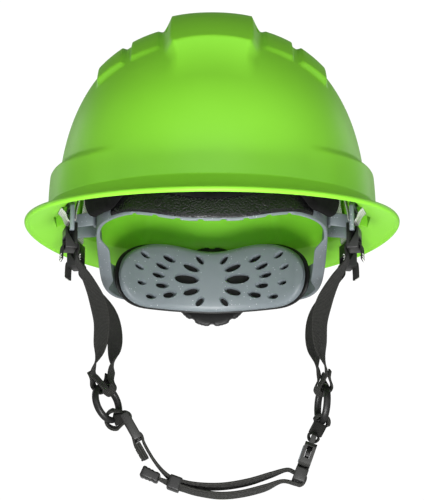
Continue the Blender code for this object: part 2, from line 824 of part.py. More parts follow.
def strap_hook(side_x, side_y, finish):
    """Hook on a key's lower bar, with an eye for the side strap below it."""
    place = station(side_x, side_y)
    turned = place @ frame_at((0, 0, 0), (1, 0, 0), (0, 0, 1))
    inner = KEY_MID - KEY_THICK / 2 - GAP
    outer = KEY_MID + KEY_THICK / 2 + GAP
    wall = 2.2 * MM
    outline = [
        (inner - wall, -24 * MM),
        (outer + wall, -24 * MM),
        (outer + wall, -9 * MM),
        (outer, -9 * MM),
        (outer, -12.4 * MM),
        (inner, -12.4 * MM),
        (inner, -8.1 * MM),
        (outer - 1.2 * MM, -8.1 * MM),
        (outer - 1.2 * MM, -6.2 * MM),
        (inner - wall, -6.2 * MM),
    ]
    name = name_of("strap_hook", side_x, side_y)
    made = extrusion(name, outline, turned, -10 * MM, 10 * MM, finish)
    low = (-20 * MM, -8.6 * MM, -21.4 * MM)
    high = (20 * MM, 8.6 * MM, -15.4 * MM)
    return cut(made, box(name + "_eye", low, high, finish, place))


def ring_frame(top, turns):
    """Frame of a divider ring: the ring lies in its YZ plane and hangs from top."""
    turn = Matrix.Rotation(turns[0], 4, "Z") @ Matrix.Rotation(turns[1], 4, "Y")
    return Matrix.Translation(top) @ turn @ Matrix.Translation((0, 0, -RING_RADIUS))


def ring_spot(top, turns, angle):
    """A point on a ring, the way out of the ring there, and the way along its wire."""
    place = ring_frame(top, turns)
    turn = place.to_3x3()
    out = turn @ Vector((0, math.cos(angle), math.sin(angle)))
    along = turn @ Vector((0, -math.sin(angle), math.cos(angle)))
    return place.translation + out * RING_RADIUS, out, along


def divider_ring(name, top, turns, finish):
    """Round wire ring."""
    rings = []
    for k in range(24):
        spot, out, along = ring_spot(top, turns, 2 * math.pi * k / 24)
        side = out.cross(along)
        rings.append([spot + out * y + side * x for x, y in circle(RING_TUBE, 8)])
    return closed_tube(name, rings, finish)


def side_strap(name, side_x, side_y, top, turns, finish):
    """Webbing from a hook's eye to the top of a divider ring, looped round both."""
    place = station(side_x, side_y)
    reach = 5.5 * MM
    local = [
        (KEY_MID + reach + 0.2 * MM, 0, -31 * MM),
        (KEY_MID + reach, 0, -23.6 * MM),
        (KEY_MID + reach - 0.8 * MM, 0, -20.7 * MM),
        (KEY_MID + 2.4 * MM, 0, -19.9 * MM),
        (KEY_MID - 2.4 * MM, 0, -19.9 * MM),
        (KEY_MID - reach + 0.8 * MM, 0, -20.7 * MM),
        (KEY_MID - reach, 0, -23.6 * MM),
        (KEY_MID - reach + 0.4 * MM, 0, -31 * MM),
    ]
    route = [place @ Vector(p) for p in local]
    tangent = place.to_3x3() @ Vector((0, side_x, 0))
    sides = [tangent] * len(route)
    widths = [16 * MM] * len(route)
    angle = math.pi / 2 - side_y * math.radians(25)
    spot, out, along = ring_spot(top, turns, angle)
    if along.y < 0:
        along = -along
    across = Vector((side_x, 0, 0))
    across = (across - along * across.dot(along)).normalized()
    hold = RING_TUBE + GAP + WEB_THICK / 2 + 1.3 * MM
    start = route[-1]
    above = spot - across * 1.3 * MM + out * 12 * MM
    for share, twist, width in ((0.18, 0.5, 17), (0.38, 0.8, 18), (0.58, 0.8, 17), (0.8, 0.4, 12)):
        middle = start.lerp(above, share)
        bow = math.sin(math.pi * share)
        middle += Vector((-side_x * STRAP_BOW * bow, side_y * 3 * MM * bow, 0))
        route.append(middle)
        sides.append(Vector((side_x * twist, 1, 0)))
        widths.append(width * MM)
    loop = [(-1.3 * MM, 12 * MM), (-1.6 * MM, 7 * MM)]
    for turn in (160, 195, 232, 270, 308, 345, 380):
        angle = math.radians(turn)
        loop.append((hold * math.cos(angle), hold * math.sin(angle)))
    loop += [(1.6 * MM, 7 * MM), (1.3 * MM, 12 * MM)]
    for aside, away in loop:
        route.append(spot + across * aside + out * away)
        sides.append(along)
        widths.append(7 * MM)
    return ribbon(name, route, sides, widths, finish, 2)


def endless_band(name, first, second, finish):
    """A loop of webbing round two bars; each is (middle, radius of the turn, way along the bar)."""
    run = second[0] - first[0]
    run.normalize()
    rings = []
    for (middle, radius, side), start in ((second, -90), (first, 90)):
        side = (side - run * side.dot(run)).normalized()
        lift = side.cross(run)
        for k in range(7):
            turn = math.radians(start + 30 * k)
            out = run * math.cos(turn) + lift * math.sin(turn)
            spot = middle + out * radius
            half = side * (WEB_LINK / 2)
            thick = out * (WEB_THICK / 2)
            rings.append(
                [spot - half - thick, spot + half - thick, spot + half + thick, spot - half + thick]
            )
    return closed_tube(name, rings, finish)


def ladder_frame():
    return frame_at(LADDER_MIDDLE, (0, 1, 0), LADDER_AXIS)


def ladder_lock(finish):
    """Three-bar adjuster."""
    place = ladder_frame()
    outline = oval(11 * MM, 10 * MM, 24, 5)
    made = extrusion("ladder_lock", outline, place, -1.4 * MM, 1.4 * MM, finish)
    slots = []
    for label, low, high in (("upper", -7, -1.5), ("lower", 1.5, 7)):
        corner = (-EYE_HALF, low * MM, -5 * MM)
        far = (EYE_HALF, high * MM, 5 * MM)
        slots.append(box("ladder_slot_" + label, corner, far, finish, place))
    return cut(made, *slots)


def link_right(finish):
    spot, _, along = ring_spot(RIGHT_RING_TOP, RIGHT_RING_TURN, math.radians(-65))
    bar = ladder_frame() @ Vector((0, -8.5 * MM, 0))
    hold = RING_TUBE + GAP + WEB_THICK / 2 + 3.5 * MM
    hold_bar = 2.1 * MM + GAP + WEB_THICK / 2
    first = (spot, hold, along)
    second = (bar, hold_bar, Vector((0.2, 1, 0.1)))
    return endless_band("link_webbing_right", first, second, finish)


def buckle_frame():
    """X across the buckle, Y along it towards the female half, Z through its thickness."""
    return frame_at(BUCKLE_SEAM, (0, 1, 0), BUCKLE_AXIS)


def link_left(finish):
    spot, _, along = ring_spot(LEFT_RING_TOP, LEFT_RING_TURN, math.radians(-90))
    bar = buckle_frame() @ Vector((0, 23.6 * MM, 0))
    hold = RING_TUBE + GAP + WEB_THICK / 2 + 1.9 * MM
    hold_bar = 2.5 * MM + GAP + WEB_THICK / 2
    first = (spot, hold, along * -1)
    return endless_band("link_webbing_left", first, (bar, hold_bar, Vector((0, 1, 0))), finish)


def chin_webbing(finish):
    """From the ladder lock, through the keeper, round the buckle's bar and back to the tail."""
    ladder = ladder_frame()
    bar = 8.5 * MM
    from_ladder = [
        (bar + 15 * MM, 4.4 * MM),
        (bar + 5 * MM, 4.2 * MM),
        (bar + 0.6 * MM, 3.2 * MM),
        (bar - 2.4 * MM, 2.2 * MM),
        (bar - 3.2 * MM, 0),
        (bar - 2.4 * MM, -2.2 * MM),
        (bar + 0.6 * MM, -3.2 * MM),
        (bar + 6 * MM, -2.0 * MM),
    ]
    side_of_normal = 1 if (ladder.to_3x3() @ Vector((0, 0, 1))).x < 0 else -1
    route = [ladder @ Vector((0, along, out * side_of_normal)) for along, out in from_ladder]
    run_out = [(-39.5, -164.8), (-32, -173.6), (-25, -178.4), (-12, -181.6), (6, -182.2), (24, -179.4)]
    run_out += [(40, -174.4), (51, -170.8)]
    route += [Vector((x * MM, 0, z * MM)) for x, z in run_out]
    buckle = buckle_frame()
    outward = 1 if (buckle.to_3x3() @ Vector((0, 0, 1))).x > 0 else -1
    turn_round = [
        (-4.2, -4.6),
        (-4.0, -1.4),
        (-4.0, 1.4),
        (-5.2, 3.9),
        (-8.4, 4.2),
        (-11.0, 2.4),
        (-11.4, -1.0),
    ]
    for along, out in turn_round:
        route.append(buckle @ Vector((0, along * MM, out * MM * outward)))
    run_back = [(48, -178.6), (36, -183.2), (20, -187.2), (5, -188.4), (-10, -186.2), (-19, -183.6)]
    run_back += [(-26.4, -181.2), (-36, -177.2)]
    route += [Vector((x * MM, 0, z * MM)) for x, z in run_back]
    sides = [Vector((0, 1, 0))] * len(route)
    return ribbon("chin_webbing", route, sides, [WEB_NARROW] * len(route), finish, 3)


def strap_keeper(finish):
    """Flat sleeve round both runs of the chin webbing."""
    place = frame_at(KEEPER_MIDDLE, (0, 1, 0), KEEPER_AXIS)
    low = (-WEB_NARROW / 2 - 2.4 * MM, -4.2 * MM, -4.9 * MM)
    high = (WEB_NARROW / 2 + 2.4 * MM, 4.2 * MM, 4.9 * MM)
    made = box("strap_keeper", low, high, finish, place)
    low = (-WEB_NARROW / 2 - 0.8 * MM, -9 * MM, -3.4 * MM)
    high = (WEB_NARROW / 2 + 0.8 * MM, 9 * MM, 3.4 * MM)
    return cut(made, box("keeper_way", low, high, finish, place))


def pull_tab(finish):
    """Chunky moulded grip beyond the tail of the webbing."""
    place = frame_at((-36 * MM, 0, -177.2 * MM), (0, 1, 0), (-11, 0, 5))
    half_length = 6.5 * MM
    shifted = [(x, y + half_length + GAP) for x, y in oval(8.5 * MM, half_length, 16, 4)]
    return extrusion("pull_tab", shifted, place, -3.8 * MM, 3.8 * MM, finish)


def buckle_male(finish):
    """Base with a slot for the webbing, and a guide tongue."""
    place = buckle_frame()
    base = oval(BUCKLE_HALF_WIDTH, 4.6 * MM, 24, 6)
    shifted = [(x, y - 4.9 * MM) for x, y in base]
    made = extrusion("buckle_male", shifted, place, -2.6 * MM, 2.6 * MM, finish)
    low, high = (-1.8 * MM, -2 * MM, -1.6 * MM), (1.8 * MM, 12 * MM, 1.6 * MM)
    tongue = box("guide_tongue", low, high, finish, place)
    low, high = (-EYE_HALF, -5.6 * MM, -9 * MM), (EYE_HALF, -2.6 * MM, 9 * MM)
    slot = box("male_slot", low, high, finish, place)
    cut(made, tongue, operation="UNION")
    return cut(made, slot)


def buckle_prong(name, side, finish):
    """Springy arm with a catch that shows in the side of the female half."""
    place = buckle_frame()
    points = [
        (5.2, GAP / MM),
        (8.2, GAP / MM),
        (8.4, 7.0),
        (12.2, 7.6),
        (12.4, 10.5),
        (9.6, 14.5),
        (7.4, 15.0),
        (5.6, 9.0),
    ]
    outline = [(x * side * MM, y * MM) for x, y in points]
    return extrusion(name, outline, place, -1.6 * MM, 1.6 * MM, finish)


def buckle_female(finish):
    """Housing with a mouth for the prongs, side windows for their catches and a bar for webbing."""
    place = buckle_frame()
    body = oval(BUCKLE_HALF_WIDTH, 8.8 * MM, 28, 7)
    shifted = [(x, y + 9.2 * MM) for x, y in body]
    made = extrusion("buckle_female", shifted, place, -4.2 * MM, 4.2 * MM, finish)
    head = [(x, y + 19.6 * MM) for x, y in oval(11 * MM, 5.6 * MM, 20, 5)]
    cut(made, extrusion("webbing_head", head, place, -1.8 * MM, 1.8 * MM, finish), operation="UNION")
    half = 10.6 * MM
    mouth = box("mouth", (-half, -3 * MM, -2.2 * MM), (half, 15.9 * MM, 2.2 * MM), finish, place)
    low, high = (-20 * MM, 6.4 * MM, -1.9 * MM), (20 * MM, 15.0 * MM, 1.9 * MM)
    sides = box("side_windows", low, high, finish, place)
    low, high = (-6.5 * MM, 18.6 * MM, -9 * MM), (6.5 * MM, 22 * MM, 9 * MM)
    slot = box("female_slot", low, high, finish, place)
    return cut(made, mouth, sides, slot)


def main():
    clear_scene()
    green = material("shell_green", (0.28, 0.66, 0.03), 0.35)
    grey = material("suspension_grey", (0.16, 0.19, 0.21), 0.5)
    black = material("black_plastic", (0.02, 0.02, 0.02), 0.45)
    foam = material("black_foam", (0.015, 0.015, 0.015), 0.9)
    vinyl = material("pebbled_vinyl", (0.02, 0.02, 0.02), 0.4)
    web = material("black_webbing", (0.03, 0.03, 0.027), 0.85)
    pale_web = material("pale_webbing", (0.6, 0.6, 0.58), 0.85)
    steel = material("screw_steel", (0.5, 0.5, 0.5), 0.3)
    shell(green)
    headband(grey)
    sweatband(vinyl)
    brow_cushion(foam)
    for label, turn in (("left", 20), ("right", -20)):
        stud(f"sweatband_stud_{label}", math.radians(turn), black)
    for side_x in (-1, 1):
        for side_y in (-1, 1):
            suspension_key(side_x, side_y, grey)
            hanger(side_x, side_y, grey)
            strap_hook(side_x, side_y, black)
    crown_strap("crown_strap_front_left", 1, 121 * MM, pale_web)
    crown_strap("crown_strap_front_right", -1, 118.5 * MM, pale_web)
    crown_pad(112 * MM, foam)
    nape_pad(grey)
    nape_layer("nape_backing", 3.5 * MM, PAD_THICK + GAP, 1.6 * MM, black)
    ratchet_housing(black)
    shaft = (0, RACK_BACK_Y, KNOB_Z)
    pivot(shaft, ratchet_knob(black), ratchet_pinion(black), knob_screw(steel))
    pivot(shaft, rack("rack_left", 1, grey), rack("rack_right", -1, grey))
    for side_y, end in ((-1, "front"), (1, "rear")):
        side_strap(f"side_strap_{end}_right", -1, side_y, RIGHT_RING_TOP, RIGHT_RING_TURN, web)
        side_strap(f"side_strap_{end}_left", 1, side_y, LEFT_RING_TOP, LEFT_RING_TURN, web)
    ring = divider_ring("divider_ring_right", RIGHT_RING_TOP, RIGHT_RING_TURN, black)
    pivot(RIGHT_RING_TOP, ring, link_right(web), ladder_lock(black))
    pivot(RIGHT_RING_TOP, chin_webbing(web), pull_tab(black))
    pivot(KEEPER_MIDDLE, strap_keeper(black))
    ring = divider_ring("divider_ring_left", LEFT_RING_TOP, LEFT_RING_TURN, black)
    pivot(LEFT_RING_TOP, ring, link_left(web), buckle_female(black))
    pivot(BUCKLE_SEAM, buckle_male(black))
    for side_y, end in ((-1, "front"), (1, "rear")):
        root = buckle_frame() @ Vector((side_y * PRONG_ROOT, 1 * MM, 0))
        pivot(root, buckle_prong(f"buckle_prong_{end}", side_y, black))


main()
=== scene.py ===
"""Looks of the full-brim climbing helmet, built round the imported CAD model. Metres, +Z up, face at -Y."""

import math

import bmesh
import bpy
from mathutils import Matrix, Vector
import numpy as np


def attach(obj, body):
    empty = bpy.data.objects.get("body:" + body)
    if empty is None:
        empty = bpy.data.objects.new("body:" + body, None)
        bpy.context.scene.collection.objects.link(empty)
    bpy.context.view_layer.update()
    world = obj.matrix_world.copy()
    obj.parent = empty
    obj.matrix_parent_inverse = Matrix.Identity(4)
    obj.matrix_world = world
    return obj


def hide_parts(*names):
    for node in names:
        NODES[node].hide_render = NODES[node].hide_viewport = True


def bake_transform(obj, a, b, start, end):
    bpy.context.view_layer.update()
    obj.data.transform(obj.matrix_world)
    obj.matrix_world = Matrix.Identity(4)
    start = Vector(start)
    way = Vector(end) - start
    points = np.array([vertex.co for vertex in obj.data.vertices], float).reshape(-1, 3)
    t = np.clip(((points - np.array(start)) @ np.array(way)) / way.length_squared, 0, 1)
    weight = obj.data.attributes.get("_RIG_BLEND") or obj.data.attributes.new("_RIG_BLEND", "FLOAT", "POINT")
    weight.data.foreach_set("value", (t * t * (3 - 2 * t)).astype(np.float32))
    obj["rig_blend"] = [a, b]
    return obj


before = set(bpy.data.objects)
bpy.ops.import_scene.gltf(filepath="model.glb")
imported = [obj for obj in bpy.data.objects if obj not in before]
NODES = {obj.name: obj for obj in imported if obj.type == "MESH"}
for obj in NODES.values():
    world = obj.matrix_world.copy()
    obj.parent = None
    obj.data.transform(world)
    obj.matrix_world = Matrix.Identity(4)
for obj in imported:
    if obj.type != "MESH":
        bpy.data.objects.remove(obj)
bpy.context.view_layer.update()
MM = 0.001
GAP = 0.4 * MM
UP = Vector((0, 0, 1))
REARWARD = Vector((0, 1, 0))

WELD_REACH = 0.01 * MM

# ---- shell, the same driving sizes as the CAD shell ----
DOME_HALF_X = 108 * MM
DOME_HALF_Y = 126 * MM
DOME_TOP = 139 * MM
DOME_PLAN_POWER = 2.2
DOME_RISE_POWER = 2.4
WALL = 3 * MM
FOOT_Z = 8 * MM
BRIM_HALF_X = 131 * MM
BRIM_HALF_Y = 155 * MM
BRIM_DROOP = 8.5 * MM
BRIM_THICKNESS = 2.8 * MM
LIP_RADIUS = 2 * MM
SHELL_COLUMNS = 448
DOME_ROWS = 190
BRIM_ROWS = 26
INNER_ROWS = 50
CENTRE_RIB_HALF = 25.5 * MM
CENTRE_RIB_REACH = 93 * MM
CENTRE_RIB_RISE = 9 * MM
RIB_SIDE_WALL = 8 * MM
RIB_END_WALL = 17 * MM
SIDE_RIB_INNER = 34 * MM
SIDE_RIB_OUTER = 79 * MM
SIDE_RIB_REACH = 86 * MM
SIDE_RIB_SWEEP = 22 * MM
NOTCH_AT = 57 * MM
NOTCH_HALF = 2.5 * MM
BOSS_RISE = 6.5 * MM
BOSS_TOP_Z = 41 * MM
BOSS_TOP_DROP = 8 * MM
BOSS_SHOULDER = 11 * MM
BOSS_END_SHOULDER = 5 * MM
BOSS_SPREAD = math.radians(60)
BOSS_FACE_X = 113.4 * MM
DIMPLE_AT = (29.5 * MM, 62 * MM)
DIMPLE_HALF = (1.6 * MM, 7 * MM)
DIMPLE_DEPTH = 1.4 * MM
SLOT_X = (104.6 * MM, 110.2 * MM)
SLOT_HALF_Y = 16 * MM
SLOT_TOP_Z = 25 * MM

# ---- suspension ----
STATION_X = 101.6 * MM
STATION_Y = 34 * MM
STATION_TURN = math.radians(10.7)
KEY_MID = -4.4 * MM
KEY_THICK = 3 * MM
KEY_HALF = 9 * MM
KEY_TIP_Z = 28 * MM
BAND_HALF_X = 78 * MM
BAND_FRONT_Y = 98 * MM
BAND_REAR_Y = 108 * MM
BAND_FRONT_POWER = 2.8
BAND_REAR_POWER = 3.6
BAND_THICK = 2.2 * MM
ARM_END_TURN = math.radians(146)
ARM_MARK_TURN = math.radians(114)
SWEATBAND_SPREAD = math.radians(42)
CUSHION_SPREAD = math.radians(60)
CUSHION_TOP_Z = 19 * MM
STUD_TURN = math.radians(20)
STUD_PROFILE = (  # radius and rise in mm, from the base to the middle of the head
    (2.6, 0.0), (2.6, 0.35), (2.35, 0.6), (1.7, 0.62), (1.5, 0.35), (0.9, 0.35), (0.8, 0.6), (0.4, 0.65)
)
CROWN_PAD_PROFILE = (  # scale of the outline and drop in mm
    (0.8, -0.1), (0.93, 0.2), (0.99, 1.0), (1.0, 2.4), (1.0, 3.6), (0.98, 4.9), (0.9, 5.9), (0.72, 6.3)
)
CROWN_WEB_THICK = 1.2 * MM
NOTCH_PITCH = 14 * MM
NOTCH_WIDTH = 3 * MM
BAND_RIM = 0.35 * MM
ARM_SWELL = 6 * MM  # the arms are this much thicker towards the head
CUSHION_NEAR = BAND_THICK + 2.6 * MM
CUSHION_THICK = 7 * MM

# ---- nape ----
PAD_CURVE_X = 91 * MM
PAD_CURVE_Y = 94 * MM
PAD_SPREAD = math.radians(45.5)
PAD_THICK = 5 * MM
PAD_COLUMNS = 150
PAD_MID_Z = -20 * MM
PAD_HALF_HEIGHT = 24 * MM
KNOB_Z = -21.5 * MM
KNOB_RADIUS = 30 * MM
KNOB_LOBES = 12
KNOB_FRONT_Y = 113.4 * MM

# ---- harness ----
WEB_WIDE = 18 * MM
WEB_NARROW = 14 * MM
WEB_LINK = 10 * MM
WEB_THICK = 1.5 * MM
WEB_RIM = 0.22  # how far the rolled edges stand up, over half the thickness
CHIN_WEB_RIM = 0.5
THREAD_RADIUS = 0.3 * MM
TACK_RADIUS = 0.42 * MM
EYE_REACH = 5.5 * MM
LADDER_BAR = 8.5 * MM
BUCKLE_BAR = 23.6 * MM
CHIN_WEB_THICK = 2.2 * MM
LINK_WEB_THICK = WEB_THICK + 0.8 * MM
LINK_FOLD_HALF = 4.5 * MM  # the folded, sewn middle of each link
STRAP_BOW = 11 * MM
RING_RADIUS = 12.5 * MM
RING_TUBE = 1.9 * MM
SWING_Z = -113 * MM
RIGHT_RING_TOP = (-75 * MM, 0, SWING_Z)
LEFT_RING_TOP = (77 * MM, 0, SWING_Z)
RIGHT_RING_TURN = (math.radians(-35), math.radians(-16))
LEFT_RING_TURN = (math.radians(12), math.radians(4))
LADDER_MIDDLE = (-55.4 * MM, 0, -141.5 * MM)
LADDER_AXIS = (0.5, 0, -0.866)
BUCKLE_SEAM = (62 * MM, 0, -170 * MM)
BUCKLE_AXIS = (0.34, 0, 0.94)
KEEPER_MIDDLE = (-25.6 * MM, 0, -180.2 * MM)
KEEPER_AXIS = (0.94, 0, -0.34)
PULL_TAB_START = (-36 * MM, 0, -177.2 * MM)
PULL_TAB_AXIS = (-11, 0, 5)

# ---- camera ----
VIEW_TARGET = Vector((0, 0, -17 * MM))
VIEW_DISTANCE = 1.5
VIEW_ELEVATION = math.radians(-11.5)
LENS = 182
BACKDROP_WAY = (0, 0.98, 0.2)  # the part of the sky that is white
RAMP_ENDS = (0.3, 0.7)


# ---------------------------------------------------------------- materials


def add_node(nodes, kind, **values):
    made = nodes.new(kind)
    for key, value in values.items():
        if hasattr(made, key):
            setattr(made, key, value)
        else:
            made.inputs[key].default_value = value
    return made


def map_range(nodes, from_low, from_high, to_low, to_high):
    made = nodes.new("ShaderNodeMapRange")
    made.inputs["From Min"].default_value = from_low
    made.inputs["From Max"].default_value = from_high
    made.inputs["To Min"].default_value = to_low
    made.inputs["To Max"].default_value = to_high
    return made


class Look:
    """A Principled material with its nodes, links and shader."""

    def __init__(self, name, colour, roughness):
        self.material = bpy.data.materials.new(name)
        self.material.use_nodes = True
        self.nodes = self.material.node_tree.nodes
        self.links = self.material.node_tree.links
        self.shader = self.nodes["Principled BSDF"]
        self.put("Base Color", (*colour, 1))
        self.put("Roughness", roughness)

    def put(self, socket, value):
        self.shader.inputs[socket].default_value = value

    def node(self, kind, **values):
        return add_node(self.nodes, kind, **values)

    def wire(self, source, target):
        self.links.new(source, target)

    def coordinates(self, output="Object"):
        return self.node("ShaderNodeTexCoord").outputs[output]

    def noise(self, scale, detail):
        made = self.node("ShaderNodeTexNoise", Scale=scale, Detail=detail, Roughness=0.5)
        self.wire(self.coordinates(), made.inputs["Vector"])
        return made.outputs["Fac"]

    def vary(self, source, low, high, socket):
        """Drives a socket from a 0 to 1 signal, between two colours or two numbers."""
        if isinstance(low, tuple):
            ramp = self.node("ShaderNodeValToRGB")
            ramp.color_ramp.elements[0].color = (*low, 1)
            ramp.color_ramp.elements[1].color = (*high, 1)
            ramp.color_ramp.elements[0].position = RAMP_ENDS[0]
            ramp.color_ramp.elements[1].position = RAMP_ENDS[1]
            self.wire(source, ramp.inputs["Fac"])
            self.wire(ramp.outputs["Color"], self.shader.inputs[socket])
            return
        spread = map_range(self.nodes, 0, 1, low, high)
        self.wire(source, spread.inputs["Value"])
        self.wire(spread.outputs["Result"], self.shader.inputs[socket])

    def bump(self, height, distance, strength, after=None):
        made = self.node("ShaderNodeBump", Strength=strength, Distance=distance)
        self.wire(height, made.inputs["Height"])
        if after is not None:
            self.wire(after.outputs["Normal"], made.inputs["Normal"])
        self.wire(made.outputs["Normal"], self.shader.inputs["Normal"])
        return made


def shell_plastic():
    look = Look("shell_green_plastic", (0.2, 0.57, 0.03), 0.38)
    look.put("Specular IOR Level", 0.3)
    broad = look.noise(9.0, 3.0)
    look.vary(broad, (0.190, 0.555, 0.024), (0.210, 0.590, 0.032), "Base Color")
    look.vary(look.noise(60.0, 4.0), 0.42, 0.5, "Roughness")
    fine = look.bump(look.noise(1500.0, 2.0), 0.02 * MM, 0.35)
    look.bump(look.noise(14.0, 1.0), 0.5 * MM, 0.15, fine)
    return look.material


def grey_plastic():
    look = Look("speckled_grey_plastic", (0.17, 0.2, 0.215), 0.42)
    cells = look.node("ShaderNodeTexVoronoi", Scale=420.0)
    look.wire(look.coordinates(), cells.inputs["Vector"])
    specks = map_range(look.nodes, 0.08, 0.16, 1, 0)
    look.wire(cells.outputs["Distance"], specks.inputs["Value"])
    chosen = look.node("ShaderNodeMath", operation="MULTIPLY")
    kept = look.node("ShaderNodeMath", operation="GREATER_THAN")
    kept.inputs[1].default_value = 0.45
    look.wire(cells.outputs["Color"], kept.inputs[0])
    look.wire(specks.outputs["Result"], chosen.inputs[0])
    look.wire(kept.outputs["Value"], chosen.inputs[1])
    blend = look.node("ShaderNodeMix", data_type="RGBA")
    tone = look.node("ShaderNodeValToRGB")
    tone.color_ramp.elements[0].color = (0.128, 0.152, 0.166, 1)
    tone.color_ramp.elements[1].color = (0.155, 0.181, 0.196, 1)
    look.wire(look.noise(35.0, 5.0), tone.inputs["Fac"])
    look.wire(tone.outputs["Color"], blend.inputs["A"])
    blend.inputs["B"].default_value = (0.52, 0.55, 0.56, 1)
    look.wire(chosen.outputs["Value"], blend.inputs["Factor"])
    look.wire(blend.outputs["Result"], look.shader.inputs["Base Color"])
    look.vary(look.noise(240.0, 3.0), 0.38, 0.5, "Roughness")
    look.bump(look.noise(1800.0, 3.0), 0.04 * MM, 0.5)
    return look.material


def black_plastic():
    look = Look("black_moulded_plastic", (0.02, 0.02, 0.02), 0.4)
    look.put("Specular IOR Level", 0.26)
    # Painted highlight: sharp, pointy edges get a lighter base colour.
    edges = look.node("ShaderNodeNewGeometry").outputs["Pointiness"]
    painted_edge_highlight = map_range(look.nodes, 0.52, 0.62, 0, 1)
    look.wire(edges, painted_edge_highlight.inputs["Value"])
    look.vary(painted_edge_highlight.outputs["Result"], (0.006, 0.006, 0.006), (0.018, 0.018, 0.017), "Base Color")
    look.vary(look.noise(180.0, 4.0), 0.32, 0.48, "Roughness")
    look.bump(look.noise(2200.0, 2.0), 0.05 * MM, 0.6)
    return look.material


def foam():
    look = Look("black_brushed_foam", (0.012, 0.012, 0.012), 0.95)
    look.put("Sheen Weight", 0.015)
    look.put("Sheen Roughness", 0.6)
    look.put("Specular IOR Level", 0.03)
    look.vary(look.noise(130.0, 6.0), (0.002, 0.002, 0.002), (0.006, 0.006, 0.006), "Base Color")
    look.bump(look.noise(1400.0, 6.0), 0.25 * MM, 0.8)
    return look.material


def vinyl():
    look = Look("pebbled_black_vinyl", (0.014, 0.014, 0.015), 0.24)
    look.put("Specular IOR Level", 0.3)
    cells = look.node("ShaderNodeTexVoronoi", feature="SMOOTH_F1", Scale=850.0, Smoothness=0.5)
    warp = look.node("ShaderNodeTexNoise", Scale=300.0, Detail=3.0)
    push = look.node("ShaderNodeVectorMath", operation="MULTIPLY_ADD")
    push.inputs[1].default_value = (0.0012, 0.0012, 0.0012)
    look.wire(look.coordinates(), warp.inputs["Vector"])
    look.wire(warp.outputs["Color"], push.inputs[0])
    look.wire(look.coordinates(), push.inputs[2])
    look.wire(push.outputs["Vector"], cells.inputs["Vector"])
    # Painted shade: the base colour is darker in the hollows between the pebbles and lighter on their tops.
    look.vary(cells.outputs["Distance"], (0.007, 0.007, 0.0075), (0.003, 0.003, 0.003), "Base Color")
    look.vary(look.noise(400.0, 3.0), 0.16, 0.28, "Roughness")
    turned = look.node("ShaderNodeMath", operation="SUBTRACT")
    turned.inputs[0].default_value = 1.0
    look.wire(cells.outputs["Distance"], turned.inputs[1])
    look.bump(turned.outputs["Value"], 0.42 * MM, 0.65)
    return look.material


def webbing_cloth(name, dark, light, pitch):
    """Plain weave that follows a strap: U runs along it and V across it, both in metres."""
    look = Look(name, light, 0.85)
    look.put("Sheen Weight", 0.03)
    look.put("Specular IOR Level", 0.15)
    band = 2 * math.pi / (20 * pitch)
    where = look.coordinates("UV")
    along = look.node("ShaderNodeTexWave", bands_direction="X", Scale=band, Distortion=0.4)
    across = look.node("ShaderNodeTexWave", bands_direction="Y", Scale=band * 1.25, Distortion=0.3)
    look.wire(where, along.inputs["Vector"])
    look.wire(where, across.inputs["Vector"])
    cross = look.node("ShaderNodeMath", operation="MULTIPLY")
    look.wire(along.outputs["Fac"], cross.inputs[0])
    look.wire(across.outputs["Fac"], cross.inputs[1])
    mixed = look.node("ShaderNodeMath", operation="MULTIPLY_ADD")
    mixed.inputs[1].default_value = 0.45
    look.wire(look.noise(900.0, 5.0), mixed.inputs[0])
    look.wire(cross.outputs["Value"], mixed.inputs[2])
    # The weave also sets the colour: its own pattern and random tone, plus painted shade that darkens the gaps
    # between the threads.
    look.vary(mixed.outputs["Value"], dark, light, "Base Color")
    look.vary(look.noise(300.0, 3.0), 0.7, 0.95, "Roughness")
    look.bump(mixed.outputs["Value"], 0.25 * MM, 0.7)
    return look.material


def thread(name, colour):
    look = Look(name, colour, 0.7)
    darker = tuple(part * 0.72 for part in colour)
    look.vary(look.noise(1500.0, 3.0), darker, colour, "Base Color")
    look.bump(look.noise(2600.0, 2.0), 0.1 * MM, 0.6)
    return look.material


def steel():
    look = Look("plain_steel", (0.5, 0.5, 0.5), 0.3)
    look.put("Metallic", 1.0)
    look.vary(look.noise(500.0, 4.0), 0.22, 0.4, "Roughness")
    look.bump(look.noise(3000.0, 2.0), 0.02 * MM, 0.4)
    return look.material


GREEN = shell_plastic()
GREY = grey_plastic()
BLACK = black_plastic()
FOAM = foam()
VINYL = vinyl()
WEB = webbing_cloth("black_webbing", (0.005, 0.005, 0.0045), (0.030, 0.030, 0.027), 0.9 * MM)
PALE_WEB = webbing_cloth("pale_webbing", (0.38, 0.38, 0.36), (0.72, 0.72, 0.69), 1.3 * MM)
THREAD = thread("white_thread", (0.78, 0.78, 0.75))
STEEL = steel()


# ---------------------------------------------------------------- helpers


def step(distance, width):
    share = min(1.0, max(0.0, distance / width))
    return share * share * (3 - 2 * share)


def mix(low, high, share):
    return low + (high - low) * share


def superellipse(turn, half_x, half_y, power):
    across = abs(math.cos(turn) / half_x) ** power
    along = abs(math.sin(turn) / half_y) ** power
    return (across + along) ** (-1 / power)


def oval(half_x, half_y, count, power=2.0):
    points = []
    for k in range(count):
        turn = 2 * math.pi * k / count
        reach = superellipse(turn, half_x, half_y, power)
        points.append((reach * math.cos(turn), reach * math.sin(turn)))
    return points


def circle(radius, count):
    return oval(radius, radius, count)


def rectangle(half_x, half_y):
    return [(-half_x, -half_y), (half_x, -half_y), (half_x, half_y), (-half_x, half_y)]


def polar(turn, reach, z):
    return Vector((reach * math.cos(turn), reach * math.sin(turn), z))


def level_ring(place, outline, level):
    return [place @ Vector((x, y, level)) for x, y in outline]


def frame_at(origin, x_axis, y_axis):
    across = Vector(x_axis).normalized()
    normal = across.cross(Vector(y_axis)).normalized()
    along = normal.cross(across)
    turn = Matrix((across, along, normal)).transposed().to_4x4()
    return Matrix.Translation(origin) @ turn


def frame_on(point, out, way=1):
    """A frame on a standing surface: Y up and Z along the way out, or against it for a way of -1."""
    return frame_at(point, UP.cross(out) * way, UP)


